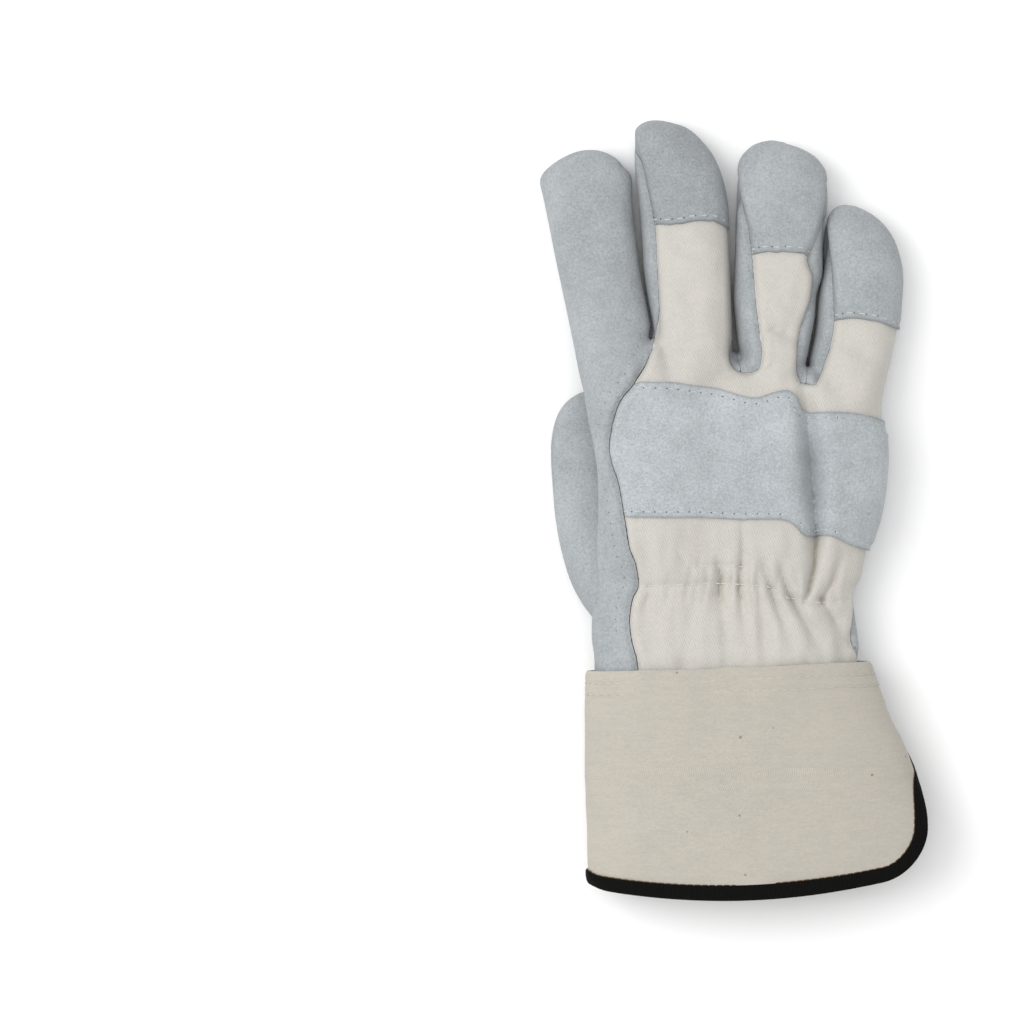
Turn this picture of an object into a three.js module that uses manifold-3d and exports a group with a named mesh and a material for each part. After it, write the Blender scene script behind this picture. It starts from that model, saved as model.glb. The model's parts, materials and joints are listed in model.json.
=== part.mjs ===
// A leather-palm work glove for the right hand, empty and lying palm down with the thumb tucked
// under its side. Millimetres: +Y runs from the cuff to the fingertips, +X from the thumb's side
// to the little finger's side, and +Z up from the surface the glove lies on.
//
// Each finger, the hand, the thumb and the cuff is a form lofted through a short table of cross
// sections. The glove is the wall between that form and the same form taken in by the thickness
// of the leather, cut along the seams into the panels that the real glove is sewn from.
import * as THREE from "three";
import { mergeVertices } from "three/addons/utils/BufferGeometryUtils.js";
import Module from "manifold-3d";

const wasm = await Module();
wasm.setup();

// Thicknesses and clearances
const WALL = 1.5; // split leather, and the cotton drill of the back with its seam allowance
const CUFF_WALL = 1.8; // two-ply stiffened canvas
const GAP = 0.3; // between pieces that are sewn together
const TIP_PROUD = 0.6; // the fingertip caps stand this far above the cotton
const CUFF_REST = WALL + GAP; // the cuff lies on the palm's tongue, this far above the surface
const TAPE_GAP = 0.55; // between the tape's legs, which are straight across, and the curved cuff
const TAPE_WALL = 0.8; // binding tape round the cuff's edge
const TAPE_WIDTH = 5.4;
const TAPE_OVERHANG = 1.2; // from the cuff's cut edge to the outside of the tape

// The side seam between the back and the palm runs lower towards the fingertips.
const SEAM_HEIGHT = 13;
const SEAM_SLOPE = -0.035;
const ABOVE_ALL = 80;
const BELOW_ALL = -20;

// Turns rows of numbers into rows with named columns.
function table(names, rows) {
  const columns = names.split(" ");
  return rows.map((row) => Object.fromEntries(columns.map((name, i) => [name, row[i]])));
}

// Cross sections, from the wrist or the finger's root to its tip.
// "under" below zero is pressed flat where the form rests on the surface.
const SECTION = "along left right under top";

const HAND = table(SECTION, [
  [-70, -50.4, 43.4, 4.3, 33.6],
  [-53.6, -50.4, 44.0, 4.3, 33.2],
  [-49, -51.2, 44.6, -0.4, 32.4],
  [-42, -51.5, 43.6, -1.5, 31.6],
  [-30, -50.5, 42.7, -1.5, 30.2],
  [-24, -50.1, 45.4, -1.5, 31.4],
  [-14, -49.8, 48.8, -1.5, 34.6],
  [0, -49.5, 52.0, -1.5, 36.6],
  [16, -49.9, 53.4, -1.5, 37.4],
  [31, -52.8, 53.0, -1.5, 35.8],
  [41, -54.4, 52.4, -1.0, 33.4],
  [47, -53.4, 51.0, 2.2, 29.4],
  [50.5, -49.6, 47.2, 8.5, 22.0],
]);

const INDEX = table(SECTION, [
  [30, -51.0, -27.5, 3.0, 31.0],
  [46, -55.2, -27.2, -0.6, 30.8],
  [61, -58.1, -31.0, -1.5, 28.5],
  [76, -61.2, -33.3, -1.5, 26.5],
  [102, -66.6, -36.4, -1.5, 23.4],
  [113, -68.8, -37.0, -1.0, 21.2],
  [119, -70.2, -37.6, 0.0, 19.4],
  [123, -67.3, -39.2, 1.2, 17.6],
  [126.4, -62.4, -42.2, 3.0, 15.6],
  [128.8, -56.4, -46.6, 5.6, 13.0],
]);

const MIDDLE = table(SECTION, [
  [30, -26.0, -2.0, 3.0, 31.0],
  [46, -29.8, 1.2, -0.6, 31.4],
  [61, -29.4, -0.5, -1.5, 29.5],
  [74, -30.6, -1.4, -1.5, 27.4],
  [102, -33.8, -2.4, -1.5, 24.4],
  [117, -35.4, -4.6, -1.0, 22.2],
  [126, -36.0, -7.8, 0.0, 20.2],
  [132, -36.0, -12.0, 1.2, 18.2],
  [136.6, -34.8, -17.2, 3.2, 16.0],
  [139.4, -32.4, -23.4, 6.0, 13.0],
]);

const RING = table(SECTION, [
  [30, 4.0, 22.0, 3.0, 31.0],
  [46, 2.2, 24.8, -0.6, 31.2],
  [62, 1.4, 25.8, -1.5, 28.6],
  [76, 1.0, 27.8, -1.5, 26.6],
  [102, 1.0, 31.4, -1.5, 24.0],
  [112, 1.0, 32.6, -1.0, 22.4],
  [120, 1.4, 32.0, 0.0, 20.6],
  [126, 2.9, 29.2, 1.2, 18.6],
  [130, 5.6, 23.8, 3.4, 16.2],
  [132.2, 8.8, 18.0, 6.4, 13.2],
]);

const LITTLE = table(SECTION, [
  [26, 29.0, 50.0, 3.0, 29.0],
  [43, 26.4, 53.6, -0.6, 29.0],
  [62, 27.8, 58.0, -1.5, 25.8],
  [84, 30.6, 60.0, -1.5, 22.8],
  [92.4, 31.8, 58.6, -1.0, 21.4],
  [99.4, 33.4, 55.6, 0.0, 19.6],
  [105, 34.6, 50.4, 2.4, 17.0],
  [108.6, 36.2, 44.4, 5.6, 13.6],
]);

const THUMB = table(SECTION, [
  [-40, -50.0, -33.0, 3.0, 19.0],
  [-34, -54.6, -29.0, 0.0, 23.0],
  [-26, -58.8, -27.0, -1.5, 24.6],
  [-16, -61.9, -26.0, -1.5, 23.0],
  [-5, -64.3, -26.0, -1.5, 19.4],
  [7, -65.3, -27.0, -1.5, 16.4],
  [19, -66.0, -29.0, -1.5, 16.0],
  [27, -65.6, -31.4, -1.2, 15.6],
  [34.4, -63.6, -35.0, 0.0, 14.6],
  [39, -60.0, -39.6, 2.0, 12.8],
  [41.8, -55.4, -45.0, 4.6, 10.4],
]);

// The cuff flares towards its hem and is split on the little finger's side. "slit" is how far,
// in degrees, each flap's edge stands from the middle of that side.
const CUFF = table("along left right under top slit", [
  [-46, -54.0, 46.2, 1.4, 36.8, 6],
  [-72, -54.0, 55.0, 0.8, 37.8, 10],
  [-88, -53.9, 62.2, 0.4, 38.0, 20],
  [-102, -53.6, 66.4, 0.4, 38.0, 29],
  [-113, -53.4, 68.5, 0.4, 37.8, 34],
  [-142, -52.8, 68.2, 0.4, 37.0, 35],
]);
const CUFF_LINES = CUFF.map((row) => row.along).filter((along) => along < -60 && along > -125);
const CUFF_EDGE = { middle: -56.4, slope: 0.038 }; // its top edge across the glove
const CUFF_HEM = { lowest: -139.9, at: -8, bow: 0.0017 };
const CUFF_CORNER = 15; // radius of the flaps' corners

// The tucked thumb holds the palm up on its side.
const LIFT = { height: 17.2, full: -30, none: -4, squeeze: 0.62, body: 36 };
const LIFT_START = { none: -44, full: 4 };
const LIFT_END = { full: 26, none: 80 };

// Folds and dents pressed into the back, each a straight run from one point to another. Those
// round -30 are the gathers of the elastic that draws the wrist in.
const FOLDS = table("fromX fromY toX toY depth spread", [
  [24.6, 47, 26.4, 14, 4.6, 5.0],
  [26.4, 14, 27.6, -10, 5.0, 4.6],
  [27.6, -10, 24.6, -31, 3.6, 3.0],
  [1.8, -6, 0.6, -31, 2.4, 2.6],
  [-5.4, -21, -4.6, -34, 2.0, 2.4],
  [10.6, -24, 14.2, -33, 2.2, 2.6],
  [14.2, -33, 20.0, -43, 1.8, 3.0],
  [17.6, -25, 18.0, -32, 2.0, 2.4],
  [21.4, -32, 32.0, -48, 2.2, 3.2],
  [34.0, -22, 35.6, -34, 1.8, 2.6],
  [36.0, -34, 42.0, -48, 1.8, 3.4],
  [13.0, 66, 24.0, 60, 1.6, 3.4],
  [-26.0, 56, -12.0, 60, 1.2, 4.0],
]);

// Seams seen from above, as outlines in X and Y
const THUMB_SIDE_SEAM = [
  [-35.3, -72], [-35.5, -56], [-37.7, -46.7], [-38.5, -39], [-37.4, -32], [-35.2, -27.4],
  [-36.4, -19.7], [-38.9, -13.9], [-41, -0.4], [-42.7, 9.2], [-45.1, 16], [-46.1, 21.8],
  [-45.6, 26.6], [-43.6, 34.3], [-40.8, 40.1], [-36, 46], [-31.1, 56.8], [-28.8, 63],
];
const MIDDLE_COTTON = [[-28.4, 76], [-28.8, 88], [-29.2, 100]];
const RING_FORK = [
  [-0.8, 63], [-1.0, 55], [0, 51.7], [2.5, 49.9], [5.4, 49.8], [7.8, 51], [8.6, 55],
  [8.6, 59], [7.5, 68], [6.3, 82], [5.8, 90.5],
];
const LITTLE_FORK = [
  [26.6, 90.5], [28.7, 84], [28.2, 76], [25.3, 68.3], [23.4, 62.6], [22.9, 51], [23.4, 46.6],
  [24.6, 45.6], [28.7, 45.7], [30.6, 51], [33.5, 58.7], [34.9, 63], [34.9, 67],
];
const BACK = [
  ...THUMB_SIDE_SEAM, ...MIDDLE_COTTON, [-0.6, 100], ...RING_FORK, ...LITTLE_FORK, [66, 64.4], [66, -72],
];
const MIDDLE_TIP = [[-29.3, 100.6], [-32.2, 115.6], [-34, 124], [-38, 134], [-38, 146], [0, 146], [-0.6, 100.6]];
const RING_TIP = [
  [5.6, 91.2], [4.1, 101], [2.6, 107], [0, 117], [0, 140], [36, 140], [33.6, 111], [31, 101], [26.8, 91.2],
];
const LITTLE_TIP = [[35, 67.8], [34.6, 77], [34, 86], [33, 95], [32, 106], [34, 116], [66, 116], [66, 65.2]];
const STRAP = [
  [-40.4, -2.6], [-29, -2.8], [-14, -2.8], [0, -3.5], [9.5, -3.4], [17, -3.7], [21, -6], [23.4, -8.8],
  [26.7, -9.7], [33.5, -9.3], [40, -12.2], [48.5, -15], [66, -16], [66, 29], [54, 29.8], [51.8, 32.2],
  [43, 34.4], [24, 34.8], [21.2, 39.8], [18, 42.4], [13, 41.5], [7.5, 39.7], [2.6, 40.2], [-6, 42.6],
  [-15, 44], [-23.5, 45], [-36.2, 45.4], [-40.4, 40.4], [-43.2, 34.3], [-45.2, 26.6], [-45.7, 21.8],
  [-44.7, 16], [-42.3, 9.2], [-40.6, -0.4],
];
// The middle and ring fingers' fronts are sewn to the palm along a seam at their roots.
const MIDDLE_ZONE = [[-29.2, 45.2], [-29.8, 61], [-32, 76], [-34.2, 92], [-38, 112], [-38, 150], [-0.6, 150], [-0.6, 61], [1.6, 50], [2, 42.8]];
const RING_ZONE = [[2, 42.8], [1.6, 50], [-0.6, 61], [-0.6, 150], [33.8, 150], [33.8, 112], [31, 92], [28.7, 76], [26.8, 62], [25.4, 50], [24.6, 38.4]];
// The index finger's back and the strip below it, down the thumb's side, are one panel. It is
// sewn to the palm along the side seam, which the tucked thumb raises.
const INDEX_SIDE = { left: -80, right: -10, stations: [-76, -44, -24, 4, 26, 44, 62, 80, 135] };
// The palm leather laps over the cuff as a tongue with round corners.
const TONGUE = [
  [-34.6, -50], [45, -48], [45.4, -72], [43.4, -78], [38.6, -82.4], [30, -84.4], [0, -85.4], [-18, -84.8],
  [-26.6, -82], [-32.4, -76.4], [-34.6, -68],
];

const smooth = (from, to, value) => THREE.MathUtils.smoothstep(from < to ? value : -value, from < to ? from : -from, from < to ? to : -to);
const sum = (list, of) => list.reduce((total, item) => total + of(item), 0);

// How far the tucked thumb lifts the underside at a point of the plan.
function liftAt(x, y) {
  const across = smooth(LIFT.none, LIFT.full, x);
  const start = smooth(LIFT_START.none, LIFT_START.full, y);
  const end = smooth(LIFT_END.none, LIFT_END.full, y);
  return LIFT.height * across * start * end;
}

// How far folds and gathers sink the back at a point of the plan.
function sinkAt(x, y) {
  return sum(FOLDS, (fold) => {
    const run = new THREE.Vector2(fold.toX - fold.fromX, fold.toY - fold.fromY);
    const reach = new THREE.Vector2(x - fold.fromX, y - fold.fromY);
    const share = THREE.MathUtils.clamp(reach.dot(run) / run.lengthSq(), 0, 1);
    const distance = reach.addScaledVector(run, -share).length();
    return fold.depth * Math.exp(-((distance / fold.spread) ** 2));
  });
}

// A point on a rounded cross section: fuller than an ellipse, and fuller still underneath.
const FULLNESS = { top: 2.3, under: 2.8 };
function roundPoint(angle, halfWidth, halfHeight) {
  const fullness = Math.sin(angle) < 0 ? FULLNESS.under : FULLNESS.top;
  const power = (value) => Math.sign(value) * Math.abs(value) ** (2 / fullness);
  return [halfWidth * power(Math.cos(angle)), halfHeight * power(Math.sin(angle))];
}

// Angles whose points stand almost evenly across a section, closer together near its sides.
function sectionAngles(over, under) {
  const half = (count, fullness) => Array.from({ length: count }, (_, i) => {
    const even = 1 - (2 * i) / count;
    const across = even * (1.25 - 0.25 * even ** 2);
    return Math.acos(Math.sign(across) * Math.abs(across) ** (fullness / 2));
  });
  return [...half(over, FULLNESS.top), ...half(under, FULLNESS.under).map((angle) => angle + Math.PI)];
}

// Closes rings of points into a solid's surface, with a fan over each end.
function skin(rings) {
  const count = rings[0].length;
  const points = rings.flat();
  const faces = [];
  for (let i = 0; i + 1 < rings.length; i += 1) {
    for (let j = 0; j < count; j += 1) {
      const a = i * count + j;
      const b = i * count + ((j + 1) % count);
      faces.push(a, b, b + count, a, b + count, a + count);
    }
  }
  for (const [ring, start] of [[rings[0], 0], [rings.at(-1), points.length - count]]) {
    const middle = points.length;
    points.push([0, 1, 2].map((axis) => sum(ring, (point) => point[axis]) / count));
    for (let j = 0; j < count; j += 1) {
      const edge = [start + j, start + ((j + 1) % count)];
      faces.push(middle, ...(start ? edge : edge.reverse()));
    }
  }
  return surface(points, faces);
}

function surface(points, faces) {
  const geometry = new THREE.BufferGeometry();
  geometry.setAttribute("position", new THREE.Float32BufferAttribute(points.flat(), 3));
  geometry.setIndex(faces);
  return geometry;
}

// A closed geometry as a solid that can be joined and cut.
function solid(geometry) {
  const bare = geometry.clone();
  bare.deleteAttribute("normal");
  bare.deleteAttribute("uv");
  const merged = mergeVertices(bare, 1e-4);
  const triVerts = new Uint32Array(merged.index.array);
  const make = () => new wasm.Manifold(new wasm.Mesh({ numProp: 3, vertProperties: merged.attributes.position.array, triVerts }));
  const made = make();
  if (made.volume() > 0) return made;
  for (let i = 0; i < triVerts.length; i += 3) [triVerts[i], triVerts[i + 1]] = [triVerts[i + 1], triVerts[i]];
  return make();
}

// The form through a table of sections, grown or taken in by "offset" square to its surface.
// Its top takes "over" points across and its underside "under".
function loft(rows, { over, under, offset = 0, tucked = false, opened = 0 }) {
  const angles = sectionAngles(over, under);
  const halfWidth = (row) => (row.right - row.left) / 2;
  const halfHeight = (row) => (row.top - row.under) / 2;
  const rings = rows.map((row, i) => {
    const before = rows[Math.max(i - 1, 0)];
    const after = rows[Math.min(i + 1, rows.length - 1)];
    const slope = (size) => (size(after) - size(before)) / (after.along - before.along);
    const lean = Math.hypot(1, slope(halfWidth));
    const width = halfWidth(row) + offset / lean;
    const height = halfHeight(row) + offset / Math.hypot(1, slope(halfHeight));
    const along = row.along - (offset * slope(halfWidth)) / lean - (i === 0 ? opened : 0);
    return angles.map((angle) => {
      const [across, up] = roundPoint(angle, width, height);
      const x = (row.left + row.right) / 2 + across;
      const z = Math.max((row.top + row.under) / 2 + up, -offset);
      if (tucked) return [x, along, z];
      const onBack = smooth(0.25, 0.8, Math.sin(angle));
      const lift = liftAt(x, along) * (1 - (LIFT.squeeze * z) / LIFT.body);
      return [x, along, z + lift - onBack * sinkAt(x, along)];
    });
  });
  return solid(skin(rings));
}

const OPENED = 4; // the hollow runs out through the wrist by this much
const hand = (offset) => loft(HAND, { over: 28, under: 8, offset, opened: offset < 0 ? OPENED : 0 });
const finger = (rows, offset) => loft(rows, offset < 0 ? { over: 8, under: 6, offset } : { over: 10, under: 6, offset });
const thumbForm = (offset) => loft(THUMB, { over: 8, under: 6, offset, tucked: true });

function body(offset) {
  return [INDEX, MIDDLE, RING, LITTLE].reduce((form, rows) => form.add(finger(rows, offset)), hand(offset));
}

// An outline moved outwards by "distance", corner by corner.
function grow(outline, distance) {
  const points = outline.map(([x, y]) => new THREE.Vector2(x, y));
  const turn = Math.sign(THREE.ShapeUtils.area(points)) || 1;
  return points.map((point, i) => {
    const before = points[(i + points.length - 1) % points.length];
    const after = points[(i + 1) % points.length];
    const side = (from, to) => new THREE.Vector2(to.y - from.y, from.x - to.x).normalize().multiplyScalar(turn);
    const out = side(before, point).add(side(point, after));
    out.multiplyScalar((2 * distance) / Math.max(out.lengthSq(), 1));
    return [point.x + out.x, point.y + out.y];
  });
}

const seamHeight = (y) => SEAM_HEIGHT + SEAM_SLOPE * y;

const indexSeamHeight = (y) => seamHeight(y) + 0.55 * liftAt(LIFT.full, y);

// An upright prism over an outline. Its floor follows "floor", a height for each Y.
function prism(outline, floor = () => BELOW_ALL, ceiling = ABOVE_ALL) {
  const shape = new THREE.Shape(outline.map(([x, y]) => new THREE.Vector2(x, y)));
  const geometry = new THREE.ExtrudeGeometry(shape, { depth: 1, bevelEnabled: false });
  const position = geometry.attributes.position;
  for (let i = 0; i < position.count; i += 1) {
    position.setZ(i, position.getZ(i) > 0.5 ? ceiling : floor(position.getY(i)));
  }
  return solid(geometry);
}
// Over the thumb the palm's underside is lifted past that height, and stays leather.
const OVER_THUMB = { outline: [[-60, -44], [-4, -44], [-4, 66], [-60, 66]], height: 22 };
const raised = (distance) => prism(grow(OVER_THUMB.outline, -distance), undefined, OVER_THUMB.height - distance);
const backPrism = (outline) => prism(outline, seamHeight).subtract(raised(0));
const backCutter = (outline) => prism(grow(outline, GAP), (y) => seamHeight(y) - GAP).subtract(raised(GAP));

function indexPrism(lower) {
  const { left, right, stations } = INDEX_SIDE;
  const outline = [...stations.map((y) => [right, y]), ...stations.map((y) => [left, y]).reverse()];
  return prism(outline, (y) => indexSeamHeight(y) - lower);
}

function largest(form) {
  return form.decompose().reduce((best, part) => (part.volume() > best.volume() ? part : best));
}

// A section of the cuff, sampled round from below one flap's edge to beyond the other's.
const CUFF_STEPS = 120;
const BEYOND = 0.25; // radians sampled past each flap's edge, for the tape's overhang
function cuffSection(along) {
  const next = Math.max(1, CUFF.findIndex((row) => row.along <= along));
  const after = CUFF[next < CUFF.length ? next : CUFF.length - 1];
  const before = CUFF[CUFF.indexOf(after) - 1];
  const share = (along - before.along) / (after.along - before.along);
  const row = Object.fromEntries(Object.keys(before).map((name) => [name, before[name] + share * (after[name] - before[name])]));
  const slit = THREE.MathUtils.degToRad(row.slit);
  const middle = (row.left + row.right) / 2;
  const half = (row.right - row.left) / 2;
  const [edge] = roundPoint(slit, 1, 1);
  const place = (angle, offset) => {
    const reach = Math.cos(angle) > 0 ? half * (Math.cos(angle) > 0 ? 1 + (1 / edge - 1) * Math.cos(angle) : 1) : half;
    const [across, up] = roundPoint(angle, reach + offset, (row.top - row.under) / 2 + offset);
    return [middle + across, along, Math.max((row.top + row.under) / 2 + up, CUFF_REST - offset)];
  };
  const angles = Array.from({ length: CUFF_STEPS + 1 }, (_, i) => slit - BEYOND + (i / CUFF_STEPS) * (2 * (Math.PI - slit + BEYOND)));
  const lengths = [0];
  for (let i = 1; i <= CUFF_STEPS; i += 1) {
    const [a, b] = [place(angles[i - 1], 0), place(angles[i], 0)];
    lengths.push(lengths[i - 1] + Math.hypot(b[0] - a[0], b[2] - a[2]));
  }
  const lengthAt = (angle) => {
    const at = ((angle - angles[0]) / (angles.at(-1) - angles[0])) * CUFF_STEPS;
    const i = Math.min(Math.floor(at), CUFF_STEPS - 1);
    return lengths[i] + (at - i) * (lengths[i + 1] - lengths[i]);
  };
  return { place, angles, lengths, start: lengthAt(slit), end: lengthAt(2 * Math.PI - slit) };
}

// A point of the cuff: "turn" runs from 0 at the back flap's edge, round the thumb's side, to 1
// at the palm flap's edge. "offset" is measured outwards from its outer face.
function cuffPoint(turn, along, offset) {
  const { place, angles, lengths, start, end } = cuffSection(along);
  const want = start + turn * (end - start);
  const found = lengths.findIndex((length) => length > want);
  const i = (found > 0 ? found : lengths.length - 1) - 1;
  const share = (want - lengths[i]) / (lengths[i + 1] - lengths[i]);
  return place(angles[i] + share * (angles[i + 1] - angles[i]), offset);
}

const HEM_SAMPLE = -125;
const { start: girthStart, end: girthEnd } = cuffSection(HEM_SAMPLE);
const GIRTH = girthEnd - girthStart;
const cuffTop = (turn) => CUFF_EDGE.middle + CUFF_EDGE.slope * cuffPoint(turn, -58, 0)[0];
const hemLine = (turn) => CUFF_HEM.lowest + TAPE_OVERHANG + CUFF_HEM.bow * (cuffPoint(turn, HEM_SAMPLE, 0)[0] - CUFF_HEM.at) ** 2;
function cuffBottom(turn) {
  const fromEdge = Math.min(turn, 1 - turn) * GIRTH;
  const short = Math.max(CUFF_CORNER - fromEdge, 0);
  return hemLine(turn) + CUFF_CORNER - Math.sqrt(CUFF_CORNER ** 2 - short ** 2);
}

// A sheet between two grids of points, closed round its rim.
function sheet(outer, inner) {
  const [rows, columns] = [outer.length, outer[0].length];
  const points = [...outer.flat(), ...inner.flat()];
  const back = rows * columns;
  const at = (i, j) => i * columns + j;
  const faces = [];
  const quad = (a, b, c, d) => faces.push(a, c, b, a, d, c);
  for (let i = 0; i + 1 < rows; i += 1) {
    for (let j = 0; j + 1 < columns; j += 1) {
      quad(at(i, j), at(i + 1, j), at(i + 1, j + 1), at(i, j + 1));
      quad(back + at(i, j), back + at(i, j + 1), back + at(i + 1, j + 1), back + at(i + 1, j));
    }
  }
  const rim = [
    ...Array.from({ length: columns - 1 }, (_, j) => at(0, j)),
    ...Array.from({ length: rows - 1 }, (_, i) => at(i, columns - 1)),
    ...Array.from({ length: columns - 1 }, (_, j) => at(rows - 1, columns - 1 - j)),
    ...Array.from({ length: rows - 1 }, (_, i) => at(rows - 1 - i, 0)),
  ];
  rim.forEach((a, k) => {
    const b = rim[(k + 1) % rim.length];
    quad(a, b, back + b, back + a);
  });
  return surface(points, faces);
}

// The cuff's columns, closer together at its flaps' round corners
function cuffTurns() {
  const corner = [0, 0.14, 0.28, 0.5, 0.75].map((share) => (share * CUFF_CORNER) / GIRTH);
  const across = 20;
  const start = CUFF_CORNER / GIRTH;
  const middle = Array.from({ length: across + 1 }, (_, i) => THREE.MathUtils.lerp(start, 1 - start, i / across));
  return [...corner, ...middle, ...corner.map((turn) => 1 - turn).reverse()];
}

function cuffGeometry() {
  const turns = cuffTurns();
  const lines = [cuffTop, ...CUFF_LINES.map((along) => () => along), cuffBottom];
  const grid = (offset) => lines.map((line) => turns.map((turn) => cuffPoint(turn, line(turn), offset)));
  return sheet(grid(0), grid(-CUFF_WALL));
}

// Stations along the cuff's bound edge, each with the way into the cuff for each millimetre.
function edgeStations() {
  const stations = [];
  const add = (turn, along, inTurn, inAlong) => stations.push({ turn, along, inTurn: inTurn / GIRTH, inAlong });
  const cornerSteps = 5;
  const hemSteps = 20;
  const cornerTurn = CUFF_CORNER / GIRTH;
  const side = (flip) => {
    const part = [];
    const turnOf = (turn) => (flip ? 1 - turn : turn);
    for (const along of [cuffTop(turnOf(0)) - GAP, ...CUFF_LINES]) part.push([0, along, 1, 0]);
    for (let i = 0; i < cornerSteps; i += 1) {
      const angle = (Math.PI / 2) * (i / cornerSteps);
      const turn = (CUFF_CORNER * (1 - Math.cos(angle))) / GIRTH;
      part.push([turn, cuffBottom(turnOf(turn)), Math.cos(angle), Math.sin(angle)]);
    }
    return part.map(([turn, along, inTurn, inAlong]) => [turnOf(turn), along, flip ? -inTurn : inTurn, inAlong]);
  };
  side(false).forEach((station) => add(...station));
  for (let i = 0; i <= hemSteps; i += 1) {
    const turn = cornerTurn + (i / hemSteps) * (1 - 2 * cornerTurn);
    add(turn, cuffBottom(turn), 0, 1);
  }
  side(true).reverse().forEach((station) => add(...station));
  return stations;
}

function tapeGeometry() {
  const outside = TAPE_GAP + TAPE_WALL;
  const inside = -CUFF_WALL - TAPE_GAP;
  const profile = [
    [TAPE_WIDTH - TAPE_OVERHANG, outside], [-0.4, outside], [-TAPE_OVERHANG, outside - 0.8],
    [-TAPE_OVERHANG, inside - TAPE_WALL + 0.8], [-0.4, inside - TAPE_WALL], [TAPE_WIDTH - TAPE_OVERHANG, inside - TAPE_WALL],
    [TAPE_WIDTH - TAPE_OVERHANG, inside], [-GAP, inside], [-GAP, TAPE_GAP], [TAPE_WIDTH - TAPE_OVERHANG, TAPE_GAP],
  ];
  const rings = edgeStations().map(({ turn, along, inTurn, inAlong }) =>
    profile.map(([inward, offset]) => cuffPoint(turn + inTurn * inward, along + inAlong * inward, offset)));
  return ribbon(rings);
}

// Joins rings of a hollow profile and closes both ends with the profile's own triangles.
function ribbon(rings) {
  const count = rings[0].length;
  const faces = [];
  for (let i = 0; i + 1 < rings.length; i += 1) {
    for (let j = 0; j < count; j += 1) {
      const a = i * count + j;
      const b = i * count + ((j + 1) % count);
      faces.push(a, a + count, b + count, a, b + count, b);
    }
  }
  // Around the U: outer leg, turn, inner leg, as quads between its two faces.
  const ends = [[0, 1, 8, 9], [1, 2, 3, 4], [1, 4, 7, 8], [4, 5, 6, 7]];
  const last = (rings.length - 1) * count;
  for (const [a, b, c, d] of ends) {
    faces.push(a, b, c, a, c, d);
    faces.push(last + a, last + c, last + b, last + a, last + d, last + c);
  }
  return surface(rings.flat(), faces);
}

// The palm's tongue lies along the cuff's underside, over its seam with the hand.
function tongueGeometry() {
  const turns = cuffTurns().filter((turn) => turn > 0.5);
  const lines = [TONGUE[0][1], CUFF_LINES[0], CUFF_LINES[1]];
  const grid = (offset) => lines.map((along) => turns.map((turn) => cuffPoint(turn, along, offset)));
  return sheet(grid(GAP + WALL), grid(GAP));
}

// Merges facets that lie flat with each other to within this much.
const FLAT_ENOUGH = 0.03;
function geometryOf(form) {
  const { vertProperties, triVerts } = form.simplify(FLAT_ENOUGH).getMesh();
  const geometry = new THREE.BufferGeometry();
  geometry.setAttribute("position", new THREE.BufferAttribute(new Float32Array(vertProperties), 3));
  geometry.setIndex(new THREE.BufferAttribute(new Uint32Array(triVerts), 1));
  return geometry;
}

// The wall of the glove, cut into its panels
const hollow = body(-WALL);
const wall = body(0).subtract(hollow);
const tips = { middle_tip: MIDDLE_TIP, ring_tip: RING_TIP, little_tip: LITTLE_TIP };
const tipWall = body(TIP_PROUD).subtract(hollow);
const tipCutters = Object.values(tips).map(backCutter);
const withoutTips = (form) => tipCutters.reduce((rest, cutter) => rest.subtract(cutter), form);

const back = largest(withoutTips(wall.intersect(backPrism(BACK))));
const leather = withoutTips(wall.subtract(backCutter(BACK)));
const middleFront = largest(leather.intersect(prism(MIDDLE_ZONE)));
const ringFront = largest(leather.intersect(prism(grow(RING_ZONE, -GAP))));
const palmWall = leather
  .subtract(prism(grow(MIDDLE_ZONE, GAP)))
  .subtract(prism(grow(RING_ZONE, 0)))
  .subtract(thumbForm(-WALL));
const tongue = solid(tongueGeometry()).intersect(prism(TONGUE, () => BELOW_ALL, SEAM_HEIGHT)).subtract(hollow);
const indexBack = largest(palmWall.intersect(indexPrism(0)));
const palm = largest(palmWall.subtract(indexPrism(GAP)).add(tongue));
const thumb = largest(thumbForm(0).subtract(thumbForm(-WALL)).subtract(hand(GAP)).subtract(finger(INDEX, GAP)));
const strap = largest(body(GAP + WALL).subtract(body(GAP)).intersect(backPrism(STRAP)));

// Finishes: split leather, cotton drill, stiffened canvas and black tape
const suede = { color: 0xa9b2b7, roughness: 0.95, metalness: 0 };
const drill = { color: 0xdcd6cb, roughness: 0.95, metalness: 0 };
const canvas = { color: 0xcfc8bc, roughness: 0.9, metalness: 0 };
const tape = { color: 0x151515, roughness: 0.85, metalness: 0 };

const glove = new THREE.Group();
function add(name, geometry, finish) {
  const mesh = new THREE.Mesh(geometry, new THREE.MeshStandardMaterial(finish));
  mesh.name = name;
  glove.add(mesh);
}

add("palm", geometryOf(palm), suede);
add("index_back", geometryOf(indexBack), suede);
add("middle_front", geometryOf(middleFront), suede);
add("ring_front", geometryOf(ringFront), suede);
add("thumb", geometryOf(thumb), suede);
add("back", geometryOf(back), drill);
for (const [name, outline] of Object.entries(tips)) {
  add(name, geometryOf(largest(tipWall.intersect(backPrism(outline)))), suede);
}
add("knuckle_strap", geometryOf(strap), suede);
add("cuff", cuffGeometry(), canvas);
add("cuff_binding", tapeGeometry(), tape);

export default glove;
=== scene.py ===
# %% [markdown]
# # A leather-palm work glove
#
# The glove lies palm down, its thumb tucked under, as it comes out of its wrapper. The packed
# part gives each panel a plain solid. This script gives each panel its sewn edges, folds, stitches
# and cloth, and sets it on a pale floor under soft light, seen from straight above.

# %% Load the frame
import functools
import json
import math

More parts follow.
